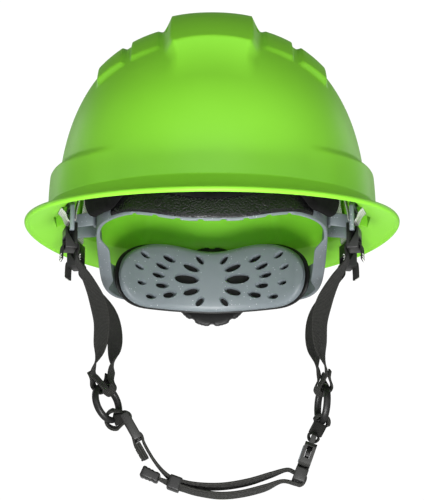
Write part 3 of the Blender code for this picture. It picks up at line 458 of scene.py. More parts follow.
def face_out(mesh):
    """Turns a closed mesh's faces outwards, by the sign of its volume."""
    volume = 0.0
    for face in mesh.polygons:
        first = mesh.vertices[face.vertices[0]].co
        volume += face.normal.dot(first) * face.area
    if volume < 0:
        mesh.flip_normals()


def new_item(name, mesh, finish):
    item = bpy.data.objects.new(name, mesh)
    bpy.context.scene.collection.objects.link(item)
    mesh.materials.append(finish)
    return item


def link(name, mesh, finish, sharp):
    item = new_item(name, mesh, finish)
    mesh.shade_smooth()
    mesh.set_sharp_from_angle(angle=math.radians(sharp))
    return item


def loft(name, rings, finish, closed=False, tips=None, spans=None, sharp=35):
    """A skin over equal rings. It is capped, drawn to two tips, or joined end to end.
    spans gives (along, around) lengths for the UV map of webbing."""
    count = len(rings[0])
    points = [tuple(point) for ring in rings for point in ring]
    faces = []
    rows = len(rings) if closed else len(rings) - 1
    for row in range(rows):
        low = row * count
        high = ((row + 1) % len(rings)) * count
        for k in range(count):
            after = (k + 1) % count
            faces.append((low + k, low + after, high + after, high + k))
    if tips:
        points += [tuple(tip) for tip in tips]
        last = (len(rings) - 1) * count
        for k in range(count):
            after = (k + 1) % count
            faces.append((len(points) - 2, after, k))
            faces.append((len(points) - 1, last + k, last + after))
    elif not closed:
        faces.append(tuple(reversed(range(count))))
        faces.append(tuple(range((len(rings) - 1) * count, len(rings) * count)))
    mesh = bpy.data.meshes.new(name)
    mesh.from_pydata(points, [], faces)
    if spans:
        along, around = spans
        layer = mesh.uv_layers.new(name="UVMap")
        for face in mesh.polygons:
            for corner in face.loop_indices:
                vertex = mesh.loops[corner].vertex_index
                layer.data[corner].uv = (along[vertex // count], around[vertex % count])
    face_out(mesh)
    return link(name, mesh, finish, sharp)


def extrusion(name, outline, place, low, high, finish):
    return loft(name, [level_ring(place, outline, level) for level in (low, high)], finish)


def box(name, low, high, finish, place=None):
    outline = [(low[0], low[1]), (high[0], low[1]), (high[0], high[1]), (low[0], high[1])]
    return extrusion(name, outline, place or Matrix(), low[2], high[2], finish)


def apply_modifiers(item):
    """Keeps the evaluated shape as the piece's own mesh."""
    shown = item.evaluated_get(bpy.context.evaluated_depsgraph_get())
    mesh = bpy.data.meshes.new_from_object(shown)
    item.modifiers.clear()
    item.data = mesh


def cut(item, cutter):
    bite = item.modifiers.new("Cut", "BOOLEAN")
    bite.operation = "DIFFERENCE"
    bite.object = cutter
    bite.solver = "EXACT"
    apply_modifiers(item)
    bpy.data.objects.remove(cutter, do_unlink=True)
    return item


def soften(item, width, segments=2):
    """Rounds the sharp edges of a moulded piece."""
    weld = item.modifiers.new("Weld", "WELD")
    weld.merge_threshold = WELD_REACH
    bevel = item.modifiers.new("Bevel", "BEVEL")
    bevel.width = width
    bevel.segments = segments
    bevel.limit_method = "ANGLE"
    bevel.angle_limit = math.radians(35)
    apply_modifiers(item)
    item.data.shade_smooth()
    item.data.set_sharp_from_angle(angle=math.radians(50))
    return item


def join(name, items):
    """One object from several, with the first one's material."""
    shape = bmesh.new()
    for item in items:
        shape.from_mesh(item.data)
    mesh = bpy.data.meshes.new(name)
    shape.to_mesh(mesh)
    shape.free()
    finish = items[0].data.materials[0]
    for item in items:
        bpy.data.objects.remove(item, do_unlink=True)
    return new_item(name, mesh, finish)


def place_on(item, body, *nodes):
    """The piece rides on a body and stands for CAD nodes."""
    if "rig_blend" not in item:
        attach(item, body)
    if nodes:
        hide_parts(*nodes)
    return item


def smooth_route(points, per_span):
    """A Catmull-Rom curve through the points."""
    points = [Vector(p) for p in points]
    ends = [points[0] * 2 - points[1], *points, points[-1] * 2 - points[-2]]
    line = []
    for k in range(len(points) - 1):
        a, b, c, d = ends[k : k + 4]
        for j in range(per_span):
            t = j / per_span
            bend = 2 * a - 5 * b + 4 * c - d
            turn = 3 * b - a - 3 * c + d
            line.append(0.5 * (2 * b + (c - a) * t + bend * t * t + turn * t**3))
    line.append(points[-1])
    return line


def web_profile(width, thickness, rim):
    """Section of flat webbing, with rolled edges that stand a little proud."""
    half, points, count = width / 2, [], 9
    for side in (1, -1):
        for k in range(count):
            across = -math.cos(math.pi * k / (count - 1)) * side
            edge = math.exp(-(((1 - abs(across)) / 0.16) ** 2))
            rise = thickness / 2 * (0.86 + rim * edge) * (1 - abs(across) ** 14)
            points.append((across * half, rise * side))
    return points


def webbing(name, route, sides, widths, finish, per_span, thickness=WEB_THICK, rim=WEB_RIM):
    """Flat webbing along a route; sides and widths give the direction and size across it."""
    line = smooth_route(route, per_span)
    wide = smooth_route([(width, 0, 0) for width in widths], per_span)
    across = smooth_route([Vector(side).normalized() for side in sides], per_span)
    rings, along, travelled = [], [], 0.0
    for k, point in enumerate(line):
        ahead = line[min(k + 1, len(line) - 1)] - line[max(k - 1, 0)]
        ahead.normalize()
        side = (across[k] - ahead * across[k].dot(ahead)).normalized()
        up = side.cross(ahead)
        section = web_profile(wide[k].x, thickness, rim)
        rings.append([point + side * x + up * y for x, y in section])
        if k:
            travelled += (point - line[k - 1]).length
        along.append(travelled)
    around = [x for x, _ in web_profile(max(widths), thickness, rim)]
    return loft(name, rings, finish, spans=(along, around))


def stitches(name, place, length, rows, pitch, finish=THREAD, radius=THREAD_RADIUS):
    """Rows of short raised thread stitches in a frame's XY plane, along its X."""
    items = []
    count = max(1, round(length / pitch))
    for row, level in enumerate(rows):
        for k in range(count):
            middle = -length / 2 + (k + 0.5) * length / count
            rings = []
            for share, scale in ((-1, 0.35), (-0.75, 0.85), (-0.3, 1), (0.3, 1), (0.75, 0.85), (1, 0.35)):
                x = middle + share * pitch * 0.42
                height = radius * 0.5 * (1 - abs(share)) ** 0.5
                spots = circle(radius * scale, 8)
                rings.append([place @ Vector((x, level + a, height + b)) for a, b in spots])
            items.append(loft(f"{name}_{row}_{k}", rings, finish))
    return join(name, items)


# ---------------------------------------------------------------- shell


def crown_relief(x, y):
    """Height of the crown ribs above the plain dome."""
    across, along = abs(x), abs(y)
    beyond = max(0.0, along - CENTRE_RIB_REACH) / RIB_END_WALL
    corner = 3 * MM * step(along - CENTRE_RIB_REACH + 6 * MM, 12 * MM)
    beside = max(0.0, across - CENTRE_RIB_HALF + corner) / RIB_SIDE_WALL
    centre = CENTRE_RIB_RISE * max(0.0, 1 - beside) ** 1.3 * max(0.0, 1 - beyond) ** 2
    outwards = max(0.0, across - SIDE_RIB_INNER) / (SIDE_RIB_OUTER - SIDE_RIB_INNER)
    reach = SIDE_RIB_REACH - SIDE_RIB_SWEEP * outwards**1.7
    side = step(across - SIDE_RIB_INNER, 3 * MM) * step(SIDE_RIB_OUTER - across, 4 * MM)
    side *= step(reach - along, 4 * MM) * (1.3 + 2.4 * outwards) * MM
    side *= step(abs(across - NOTCH_AT) - NOTCH_HALF + 1 * MM, 2 * MM)
    dimple = ((across - DIMPLE_AT[0]) / DIMPLE_HALF[0]) ** 2 + ((along - DIMPLE_AT[1]) / DIMPLE_HALF[1]) ** 2
    return max(centre, side) - DIMPLE_DEPTH * step(1.3 - dimple, 0.8)


def boss_relief(turn, z):
    """Height of the side bosses above the dome's wall."""
    off_side = abs(math.atan2(math.sin(turn), abs(math.cos(turn))))
    share = min(1.0, off_side / BOSS_SPREAD)
    around = 1 - 0.6 * step(off_side - math.radians(28), math.radians(26))
    around *= step(BOSS_SPREAD - off_side, math.radians(12))
    top = BOSS_TOP_Z - BOSS_TOP_DROP * share
    return BOSS_RISE * around * step(top - z, mix(BOSS_SHOULDER, BOSS_END_SHOULDER, share))


def dome(turn, rise, inset=0.0):
    lift = rise * math.pi / 2
    reach = superellipse(turn, DOME_HALF_X - inset, DOME_HALF_Y - inset, DOME_PLAN_POWER)
    reach *= max(0.0, math.cos(lift)) ** (2 / DOME_PLAN_POWER)
    height = (DOME_TOP - inset) * math.sin(lift) ** (2 / DOME_RISE_POWER)
    return polar(turn, reach, height)


def dome_normal(point):
    slope = []
    for value, half, power in (
        (point.x, DOME_HALF_X, DOME_PLAN_POWER),
        (point.y, DOME_HALF_Y, DOME_PLAN_POWER),
        (point.z, DOME_TOP, DOME_RISE_POWER),
    ):
        slope.append(math.copysign(abs(value / half) ** (power - 1) / half, value))
    return Vector(slope).normalized()


def outer_dome(turn, rise):
    plain = dome(turn, rise)
    point = plain + dome_normal(plain) * crown_relief(plain.x, plain.y)
    out = boss_relief(turn, plain.z)
    point += Vector((math.cos(turn), math.sin(turn), 0)) * out
    if out > 0 and abs(point.x) > BOSS_FACE_X:
        point.x = math.copysign(BOSS_FACE_X, point.x)
    return point


def rise_at(z):
    return math.asin((z / DOME_TOP) ** (DOME_RISE_POWER / 2)) * 2 / math.pi


def edge_height(turn):
    return -BRIM_DROOP * math.sin(turn) ** 2


def rim_reach(turn):
    return superellipse(turn, BRIM_HALF_X, BRIM_HALF_Y, 2) - LIP_RADIUS


def brim(turn, reach, foot, drop=0.0):
    rim = rim_reach(turn)
    share = min(1.0, max(0.0, (reach - foot) / (rim - foot)))
    edge = edge_height(turn) + LIP_RADIUS
    height = edge + (FOOT_Z - edge) * (1 - share) ** 1.8
    return polar(turn, reach, height - drop)


def inner_relief(turn, z):
    """Stiffening panel inside the dome, front and rear: it stands in from the wall between slanted edges."""
    off_middle = abs(math.atan2(math.cos(turn), abs(math.sin(turn))))
    edge = math.radians(27) - z * 1.6
    return 1.6 * MM * step(edge - off_middle, math.radians(2.5)) * step(70 * MM - z, 12 * MM)


def shell_rings():
    turns = [2 * math.pi * (k + 0.5) / SHELL_COLUMNS for k in range(SHELL_COLUMNS)]
    foot = rise_at(FOOT_Z)
    feet = [outer_dome(turn, foot).xy.length for turn in turns]
    rings = []
    for k in range(DOME_ROWS + 1):
        rise = foot + (0.995 - foot) * (1 - k / DOME_ROWS) ** 1.2
        rings.append([outer_dome(turn, rise) for turn in turns])
    for k in range(1, BRIM_ROWS + 1):
        share = k / BRIM_ROWS
        rings.append([brim(t, mix(start, rim_reach(t), share), start) for t, start in zip(turns, feet)])
    for roll in range(75, -91, -15):
        across = LIP_RADIUS * math.cos(math.radians(roll))
        up = LIP_RADIUS * math.sin(math.radians(roll))
        rings.append([polar(t, rim_reach(t) + across, edge_height(t) + up) for t in turns])
    inner = [dome(turn, foot, WALL).xy.length for turn in turns]
    for k in range(1, BRIM_ROWS + 1):
        share = 1 - k / BRIM_ROWS
        ring = []
        for turn, start in zip(turns, inner):
            reach = mix(start, rim_reach(turn) - 0.3 * MM, share)
            ring.append(brim(turn, reach, start, BRIM_THICKNESS))
        rings.append(ring)
    for k in range(INNER_ROWS):
        rise = foot + 0.02 + (0.985 - foot) * (k / (INNER_ROWS - 1)) ** 1.2 * 0.98
        ring = []
        for turn in turns:
            point = dome(turn, rise, WALL)
            ring.append(point - dome_normal(point) * inner_relief(turn, point.z))
        rings.append(ring)
    return rings


def station(side_x, side_y):
    """Frame of a suspension point: X outwards through the wall, Z up."""
    turn = STATION_TURN * side_y if side_x > 0 else math.pi - STATION_TURN * side_y
    place = Matrix.Translation((side_x * STATION_X, side_y * STATION_Y, 0))
    return place @ Matrix.Rotation(turn, 4, "Z")


def name_of(stem, side_x, side_y):
    return f"{stem}_{'front' if side_y < 0 else 'rear'}_{'left' if side_x > 0 else 'right'}"


def shell():
    tips = ((0, 0, DOME_TOP + CENTRE_RIB_RISE), (0, 0, DOME_TOP - WALL))
    made = loft("shell_skin", shell_rings(), GREEN, tips=tips, sharp=60)
    slots = []
    for side in (-1, 1):
        inner, outer = sorted((side * SLOT_X[0], side * SLOT_X[1]))
        low = (inner, -SLOT_HALF_Y, -12 * MM)
        slots.append(box(f"slot_{side}", low, (outer, SLOT_HALF_Y, SLOT_TOP_Z), GREEN))
    cut(made, join("slots", slots))
    made.data.set_sharp_from_angle(angle=math.radians(60))
    place_on(made, "helmet", "shell")
    blocks = []
    for side_x in (-1, 1):
        for side_y in (-1, 1):
            place = station(side_x, side_y)
            label = f"socket_{side_x}_{side_y}"
            block = box(label, (-8.2 * MM, -13 * MM, 9 * MM), (1.4 * MM, 13 * MM, 32 * MM), GREEN, place)
            half = KEY_HALF + GAP
            low = (KEY_MID - KEY_THICK / 2 - GAP, -half, 0)
            high = (KEY_MID + KEY_THICK / 2 + GAP, half, KEY_TIP_Z + GAP)
            blocks.append(cut(block, box(label + "_slot", low, high, GREEN, place)))
    sockets = soften(join("shell_sockets", blocks), 0.6 * MM)
    place_on(sockets, "helmet")


shell()


# ---------------------------------------------------------------- headband and its pads


def band_place(turn):
    """Inner face of the headband and its outward direction; turn is 0 at the front, positive to +X."""
    angle = turn - math.pi / 2
    front = math.sin(angle) < 0
    half_y = BAND_FRONT_Y if front else BAND_REAR_Y
    power = BAND_FRONT_POWER if front else BAND_REAR_POWER
    reach = superellipse(angle, BAND_HALF_X, half_y, power)
    point = polar(angle, reach, 0)
    slope_x = abs(point.x / BAND_HALF_X) ** (power - 1) / BAND_HALF_X
    slope_y = abs(point.y / half_y) ** (power - 1) / half_y
    out = Vector((math.copysign(slope_x, point.x), math.copysign(slope_y, point.y), 0))
    return point, out.normalized()


def band_low(turn):
    off_front = abs(math.degrees(turn))
    return (-17.5 + 7.5 * step(off_front - 6, 30) - 26 * step(off_front - 60, 82)) * MM


def band_high(turn):
    off_front = abs(math.degrees(turn))
    return (17 - 3 * step(off_front - 35, 30) - 27 * step(off_front - 52, 84)) * MM


def strip_on_band(name, spread, section, finish, count, sharp=35):
    rings = []
    for k in range(count + 1):
        turn = mix(-spread, spread, k / count)
        point, out = band_place(turn)
        rings.append([point + out * reach + Vector((0, 0, z)) for reach, z in section(turn)])
    return loft(name, rings, finish, sharp=sharp)


def rounded(points, radius, steps=4):
    """The outline with its corners turned into arcs of a radius."""
    made = []
    for k, corner in enumerate(points):
        corner = Vector(corner)
        before = Vector(points[k - 1])
        after = Vector(points[(k + 1) % len(points)])
        reach = min(radius, (before - corner).length * 0.45, (after - corner).length * 0.45)
        start = corner + (before - corner).normalized() * reach
        end = corner + (after - corner).normalized() * reach
        for j in range(steps + 1):
            t = j / steps
            spot = start * (1 - t) ** 2 + corner * 2 * t * (1 - t) + end * t * t
            made.append((spot.x, spot.y))
    return made


def headband():
    """Front band and arms, with a thicker rim along the lower edge and notches under the sweatband."""

    def section(turn):
        low, high = band_low(turn), band_high(turn)
        along = turn * 92 * MM
        off = abs((along / NOTCH_PITCH) % 1 - 0.5) * NOTCH_PITCH
        notch = step(NOTCH_WIDTH / 2 + 0.5 * MM - off, 0.6 * MM) * step(0.66 - abs(turn), 0.02)
        low += 1.1 * MM * notch
        off_front = abs(math.degrees(turn))
        arm = step(off_front - 76, 16) * step(130 - off_front, 12)
        rim = BAND_RIM + ARM_SWELL * arm
        outline = [
            (-rim, low),
            (BAND_THICK, low),
            (BAND_THICK, high),
            (0, high),
            (0, low + 2.2 * MM),
            (-rim, low + 1.6 * MM),
        ]
        return rounded(outline, 0.7 * MM, 3)

    made = strip_on_band("headband_band", ARM_END_TURN, section, GREY, 620)
    place_on(made, "helmet", "headband")
    for side in (-1, 1):
        point, out = band_place(ARM_MARK_TURN * side)
        point.z = (band_low(ARM_MARK_TURN) + band_high(ARM_MARK_TURN)) / 2
        place = frame_on(point, out)
        rings = []
        for k in range(32):
            angle = 2 * math.pi * k / 32
            wire = circle(0.3 * MM, 8)
            rings.append([place @ polar(angle, 2.2 * MM + x, y - 0.05 * MM) for x, y in wire])
        mark = loft(f"arm_ring_mark_{'left' if side > 0 else 'right'}", rings, GREY, closed=True)
        place_on(mark, "helmet")


def sweatband():
    """Pad on the head side of the front band, turned over its top, with a flap down its front."""
    near = -3.6 * MM
    far = BAND_THICK + GAP + 1.4 * MM

    def section(turn):
        low, high = band_low(turn), band_high(turn)
        edge = low + 1.5 * MM
        top = high + GAP
        end = step(SWEATBAND_SPREAD - abs(turn), math.radians(3))
        puff = 0.5 * MM * end
        outline = [
            (near, edge + 1 * MM * (1 - end)),
            (-GAP, edge + 1 * MM * (1 - end)),
            (-GAP, top),
            (BAND_THICK + GAP, top),
            (BAND_THICK + GAP, edge),
            (far - 0.5 * MM, edge),
            (far + puff * 0.4, edge + 2 * MM),
            (far + puff, mix(edge, top, 0.5)),
            (far + puff * 0.4, top - 1 * MM),
            (far - 0.2 * MM, top + 1.3 * MM),
            (mix(far, near, 0.5), top + 1.6 * MM),
            (near + 0.3 * MM, top + 1.2 * MM),
            (near - puff * 1.6, mix(edge, top, 0.7)),
            (near - puff * 1.6, mix(edge, top, 0.3)),
        ]
        return rounded(outline, 1.2 * MM, 3)

    made = strip_on_band("sweatband_cover", SWEATBAND_SPREAD, section, VINYL, 170, 50)
    place_on(made, "helmet", "sweatband")
    seams = []
    for side in (-1, 1):
        turn = side * (SWEATBAND_SPREAD - math.radians(3.2))
        point, out = band_place(turn)
        height = mix(band_low(turn), band_high(turn), 0.56)
        middle = point + out * (far + 0.1 * MM) + Vector((0, 0, height))
        place = frame_at(middle, UP, UP.cross(out) * -1)
        seams.append(stitches(f"seam_{side}", place, 22 * MM, (0,), 2.2 * MM, VINYL))
    place_on(join("sweatband_end_stitching", seams), "helmet")


def brow_cushion():
    """Foam strip in front of the headband, crowned, with a hanging lobe at each temple."""

    def section(turn):
        off_front = abs(math.degrees(turn))
        lobe = step(16 - abs(off_front - 46), 11)
        low = (-4 + 7.5 * step(off_front, 30) - 10 * lobe) * MM
        near, far = CUSHION_NEAR, CUSHION_NEAR + CUSHION_THICK
        end = step(60 - off_front, 3)
        swell = 0.9 * MM * end
        outline = [
            (near, low + 1.2 * MM),
            (mix(near, far, 0.5), low - swell * 0.3),
            (far, low + 1.2 * MM),
            (far + swell, mix(low, CUSHION_TOP_Z, 0.5)),
            (far - 0.3 * MM, CUSHION_TOP_Z),
            (near, CUSHION_TOP_Z),
            (near - swell * 0.3, mix(low, CUSHION_TOP_Z, 0.5)),
        ]
        return rounded(outline, 3 * MM, 5)

    made = strip_on_band("brow_cushion_foam", CUSHION_SPREAD, section, FOAM, 180, 60)
    place_on(made, "helmet", "brow_cushion")


def studs():
    for side, label in ((1, "left"), (-1, "right")):
        turn = side * STUD_TURN
        point, out = band_place(turn)
        point.z = band_low(turn) + 9 * MM
        place = frame_on(point, out)
        base = BAND_THICK + 2 * MM
        rings = [level_ring(place, circle(r * MM, 32), base + rise * MM) for r, rise in STUD_PROFILE]
        made = loft(f"sweatband_stud_head_{label}", rings, BLACK)
        place_on(made, "helmet", f"sweatband_stud_{label}")


headband()
sweatband()
brow_cushion()
studs()


# ---------------------------------------------------------------- keys, hangers, hooks, crown webbing


def copied(node_name, name, width, finish, body, segments=2):
    """A moulded piece on the CAD node's own shape, with rounded edges."""
    mesh = NODES[node_name].data.copy()
    mesh.materials.clear()
    made = new_item(name, mesh, finish)
    soften(made, width, segments)
    return place_on(made, body, node_name)


def suspension():
    for side_x in (-1, 1):
        for side_y in (-1, 1):
            for stem, finish, width in (
                ("suspension_key", GREY, 0.5),
                ("hanger", GREY, 0.45),
                ("strap_hook", BLACK, 0.7),
            ):
                label = name_of(stem, side_x, side_y)
                copied(label, label + "_moulding", width * MM, finish, "helmet")


def crown_strap(name, side, level, node_name):
    """Webbing from the front key on one side, over the crown, to the rear key on the other."""

    def half_route(side_x, side_y):
        place = station(side_x, side_y)
        inner = KEY_MID - KEY_THICK / 2 - GAP - WEB_THICK / 2 - 0.2 * MM
        outer = KEY_MID + KEY_THICK / 2 + GAP + WEB_THICK / 2 + 0.2 * MM
        local = [
            (outer + 4.4 * MM, 0, 3.6 * MM),
            (outer + 1.4 * MM, 0, 0.2 * MM),
            (outer, 0, -3.4 * MM),
            (outer - 1.2 * MM, 0, -4.9 * MM),
            (inner + 1.2 * MM, 0, -4.9 * MM),
            (inner, 0, -3.4 * MM),
            (inner - 0.3 * MM, 0, 0.5 * MM),
            (inner - 2.0 * MM, 0, 8.0 * MM),
            (inner - 4.6 * MM, 0, 20 * MM),
            (inner - 6.6 * MM, 0, 38 * MM),
        ]
        return [place @ Vector(p) for p in local]

    start, end = half_route(side, -1), half_route(-side, 1)
    upper = []
    for share in (0.3, 0.45, 0.6, 0.72, 0.84, 1.0, 1.16, 1.28, 1.4, 1.55, 1.7):
        lift = min(share, 2 - share)
        anchor = start[-1] if share <= 1 else end[-1]
        height = mix(anchor.z, level, 1 - (1 - lift) ** 2.3)
        spot = Vector((anchor.x, anchor.y, 0)) * (1 - lift) ** 0.75
        upper.append(Vector((spot.x, spot.y, height)))
    route = [*start, *upper, *reversed(end)]
    turn_start = station(side, -1).to_3x3() @ REARWARD
    turn_end = station(-side, 1).to_3x3() @ REARWARD
    diagonal = Vector((STATION_X * side, -STATION_Y, 0)).cross(UP).normalized()
    if diagonal.dot(turn_start) < 0:
        diagonal = -diagonal
    if turn_end.dot(diagonal) < 0:
        turn_end = -turn_end
    sides = [turn_start] * len(start) + [diagonal] * len(upper) + [turn_end] * len(start)
    made = webbing(name, route, sides, [WEB_WIDE] * len(route), PALE_WEB, 6, CROWN_WEB_THICK, 0.15)
    place_on(made, "helmet", node_name)


def crown_pad(level):
    rings = []
    for scale, drop in CROWN_PAD_PROFILE:
        outline = oval(34 * MM * scale, 42 * MM * scale, 72, 2.6)
        rings.append([Vector((x, y, level - drop * MM)) for x, y in outline])
    made = loft("crown_pad_cushion", rings, FOAM, sharp=60)
    place_on(made, "helmet", "crown_pad")


suspension()
crown_strap("crown_webbing_front_left", 1, 121 * MM, "crown_strap_front_left")
crown_strap("crown_webbing_front_right", -1, 118.5 * MM, "crown_strap_front_right")
crown_pad(112 * MM)


# ---------------------------------------------------------------- nape


def pad_place(turn):
    point = Vector((PAD_CURVE_X * math.sin(turn), PAD_CURVE_Y * math.cos(turn), 0))
    out = Vector((math.sin(turn) / PAD_CURVE_X, math.cos(turn) / PAD_CURVE_Y, 0)).normalized()
    return point, out


def pad_edges(share):
    hump = 4.5 * MM * math.sin(math.pi * min(1.0, abs(share) / 0.95)) ** 2
    corner = max(0.0, abs(share) - 0.62) / 0.38
    shrink = 1 - math.sqrt(max(0.0, 1 - corner**2.4))
    top = PAD_MID_Z + PAD_HALF_HEIGHT - 3 * MM + hump - 22 * MM * shrink
    low = PAD_MID_Z - PAD_HALF_HEIGHT + 2 * MM * abs(share) + 20 * MM * shrink
    return low, top


def nape_layer(name, grow, start, thickness, finish, crown=0.0):
    """A curved sheet with the pad's outline and rounded edges, crowned on the head side."""
    rings = []
    spread = PAD_SPREAD + grow / PAD_CURVE_X
    for k in range(PAD_COLUMNS + 1):
        share = math.sin(math.pi / 2 * mix(-0.992, 0.992, k / PAD_COLUMNS))
        turn = spread * share
        point, out = pad_place(turn)
        low, top = pad_edges(share)
        low, top = low - grow * 0.4, top + grow * 0.4
        edge = min(2.2 * MM, thickness * 0.45)
        inset = edge * max(0.0, (abs(share) - 0.9) / 0.1) ** 2
        ring = []
        for up in (0, 0.03, 0.08, 0.2, 0.35, 0.5, 0.65, 0.8, 0.92, 0.97, 1):
            bulge = crown * math.sin(math.pi * up) ** 0.7 * (1 - share**6)
            fall = edge * (1 - math.sqrt(max(0.0, 1 - max(0.0, abs(up - 0.5) - 0.42) / 0.08)))
            ring.append(point + out * (start + fall + inset - bulge) + Vector((0, 0, mix(low, top, up))))
        for up in (1, 0.5, 0):
            back = start + thickness - inset * 0.4
            ring.append(point + out * back + Vector((0, 0, mix(low, top, up))))
        rings.append(ring)
    return loft(name, rings, finish, sharp=50)


VENTS = [
    (9, 14.5, 3.6, 1.5, 52),
    (32.5, 14.5, 4.6, 1.9, 22),
    (52, 15.5, 3.6, 1.5, 24),
    (15.5, 8.5, 5.8, 2.2, 20),
    (38, 8.5, 4.6, 1.8, 18),
    (57, 6, 3.4, 1.4, 16),
    (19, 0, 8.8, 3.4, 2),
    (41, 1.5, 4.4, 1.7, 6),
    (15.5, -9.5, 5.8, 2.2, -18),
    (38, -6, 4.6, 1.8, -4),
    (55, -5.5, 3.2, 1.3, 0),
    (9, -17, 3.8, 1.7, -50),
    (32, -12.5, 4.8, 1.9, -16),
    (47, -15, 3.8, 1.5, -4),
]


def nape_pad():
    """Pad with a fan of vent holes, each with a chamfered lip. A vent is across, up, half sizes and tilt."""
    made = nape_layer("nape_pad_moulding", 0, 0, PAD_THICK, GREY, 0.8 * MM)
    cutters = []
    for side in (-1, 1):
        for k, (across, up, long_half, short_half, tilt) in enumerate(VENTS):
            point, out = pad_place(side * across * MM / PAD_CURVE_X)
            point.z = PAD_MID_Z + up * MM
            place = frame_on(point, out, -1) @ Matrix.Rotation(math.radians(tilt * side), 4, "Z")
            rings = []
            for grow, level in ((1.0, -5), (0.7, -0.3), (0.15, 0.5), (0, 1.6), (-0.1, 9)):
                outline = oval((long_half + grow) * MM, (short_half + grow) * MM, 28, 2.1)
                rings.append(level_ring(place, outline, -level * MM))
            cutters.append(loft(f"vent_{side}_{k}", rings, GREY))
    cut(made, join("vents", cutters))
    made.data.set_sharp_from_angle(angle=math.radians(42))
    place_on(made, "helmet", "nape_pad")


def ratchet_knob():
    """Grip with scooped lobes, a recessed back face and a ring of fine ribs."""
    place = frame_at((0, 0, KNOB_Z), (-1, 0, 0), UP)
    count = KNOB_LOBES * 24
    rings = []
    levels = (
        (0.90, 0, 0), (0.96, 0, 0.2), (0.99, 0.5, 0.8), (1, 1.2, 1), (1, 5.6, 1), (0.99, 6.5, 0.9),
        (0.955, 7.1, 0.5), (0.9, 7.2, 0.2), (0.86, 6.9, 0), (0.82, 5.6, 0), (0.5, 5.2, 0),
        (0.42, 5.3, 0), (0.39, 6.2, 0), (0.2, 6.5, 0), (0.05, 6.5, 0),
    )
    for scale, level, lobe in levels:
        ring = []
        for k in range(count):
            turn = 2 * math.pi * k / count
            scoop = 1.7 * MM * max(0.0, math.cos(KNOB_LOBES * turn)) ** 2 * lobe
            rib = 0.25 * MM * math.cos(KNOB_LOBES * 6 * turn) * lobe
            reach = KNOB_RADIUS * scale - scoop + rib * 0.5
            ring.append(place @ polar(turn, reach, KNOB_FRONT_Y + level * MM))
        rings.append(ring)
    made = loft("ratchet_knob_grip", rings, BLACK)
    place_on(made, "knob", "ratchet_knob")
    ends = (107.4 * MM, KNOB_FRONT_Y + 3 * MM)
    shaft = extrusion("ratchet_knob_shaft", circle(4 * MM, 40), place, *ends, BLACK)
    place_on(shaft, "knob")


nape_pad()
backing = nape_layer("nape_backing_layer", 1.8 * MM, PAD_THICK + GAP, 1.6 * MM, BLACK)
place_on(backing, "helmet", "nape_backing")
ratchet_knob()
copied("ratchet_housing", "ratchet_housing_moulding", 0.8 * MM, BLACK, "helmet")


# ---------------------------------------------------------------- harness


def ring_frame(top, turns):
    turn = Matrix.Rotation(turns[0], 4, "Z") @ Matrix.Rotation(turns[1], 4, "Y")
    return Matrix.Translation(top) @ turn @ Matrix.Translation((0, 0, -RING_RADIUS))


def ring_spot(top, turns, angle):
    """A point on a ring, the way out of the ring there, and the way along its wire."""
    place = ring_frame(top, turns)
    turn = place.to_3x3()
    out = turn @ Vector((0, math.cos(angle), math.sin(angle)))
    along = turn @ Vector((0, -math.sin(angle), math.cos(angle)))
    return place.translation + out * RING_RADIUS, out, along


def divider_ring(label, top, turns, body):
    """Moulded ring of a flattened round section."""
    rings = []
    for k in range(120):
        spot, out, along = ring_spot(top, turns, 2 * math.pi * k / 120)
        side = out.cross(along)
        outline = oval(RING_TUBE * 1.3, RING_TUBE * 1.05, 20, 2.6)
        rings.append([spot + out * y + side * x for x, y in outline])
    made = loft(f"divider_ring_moulding_{label}", rings, BLACK, closed=True, sharp=60)
    place_on(made, body, f"divider_ring_{label}")


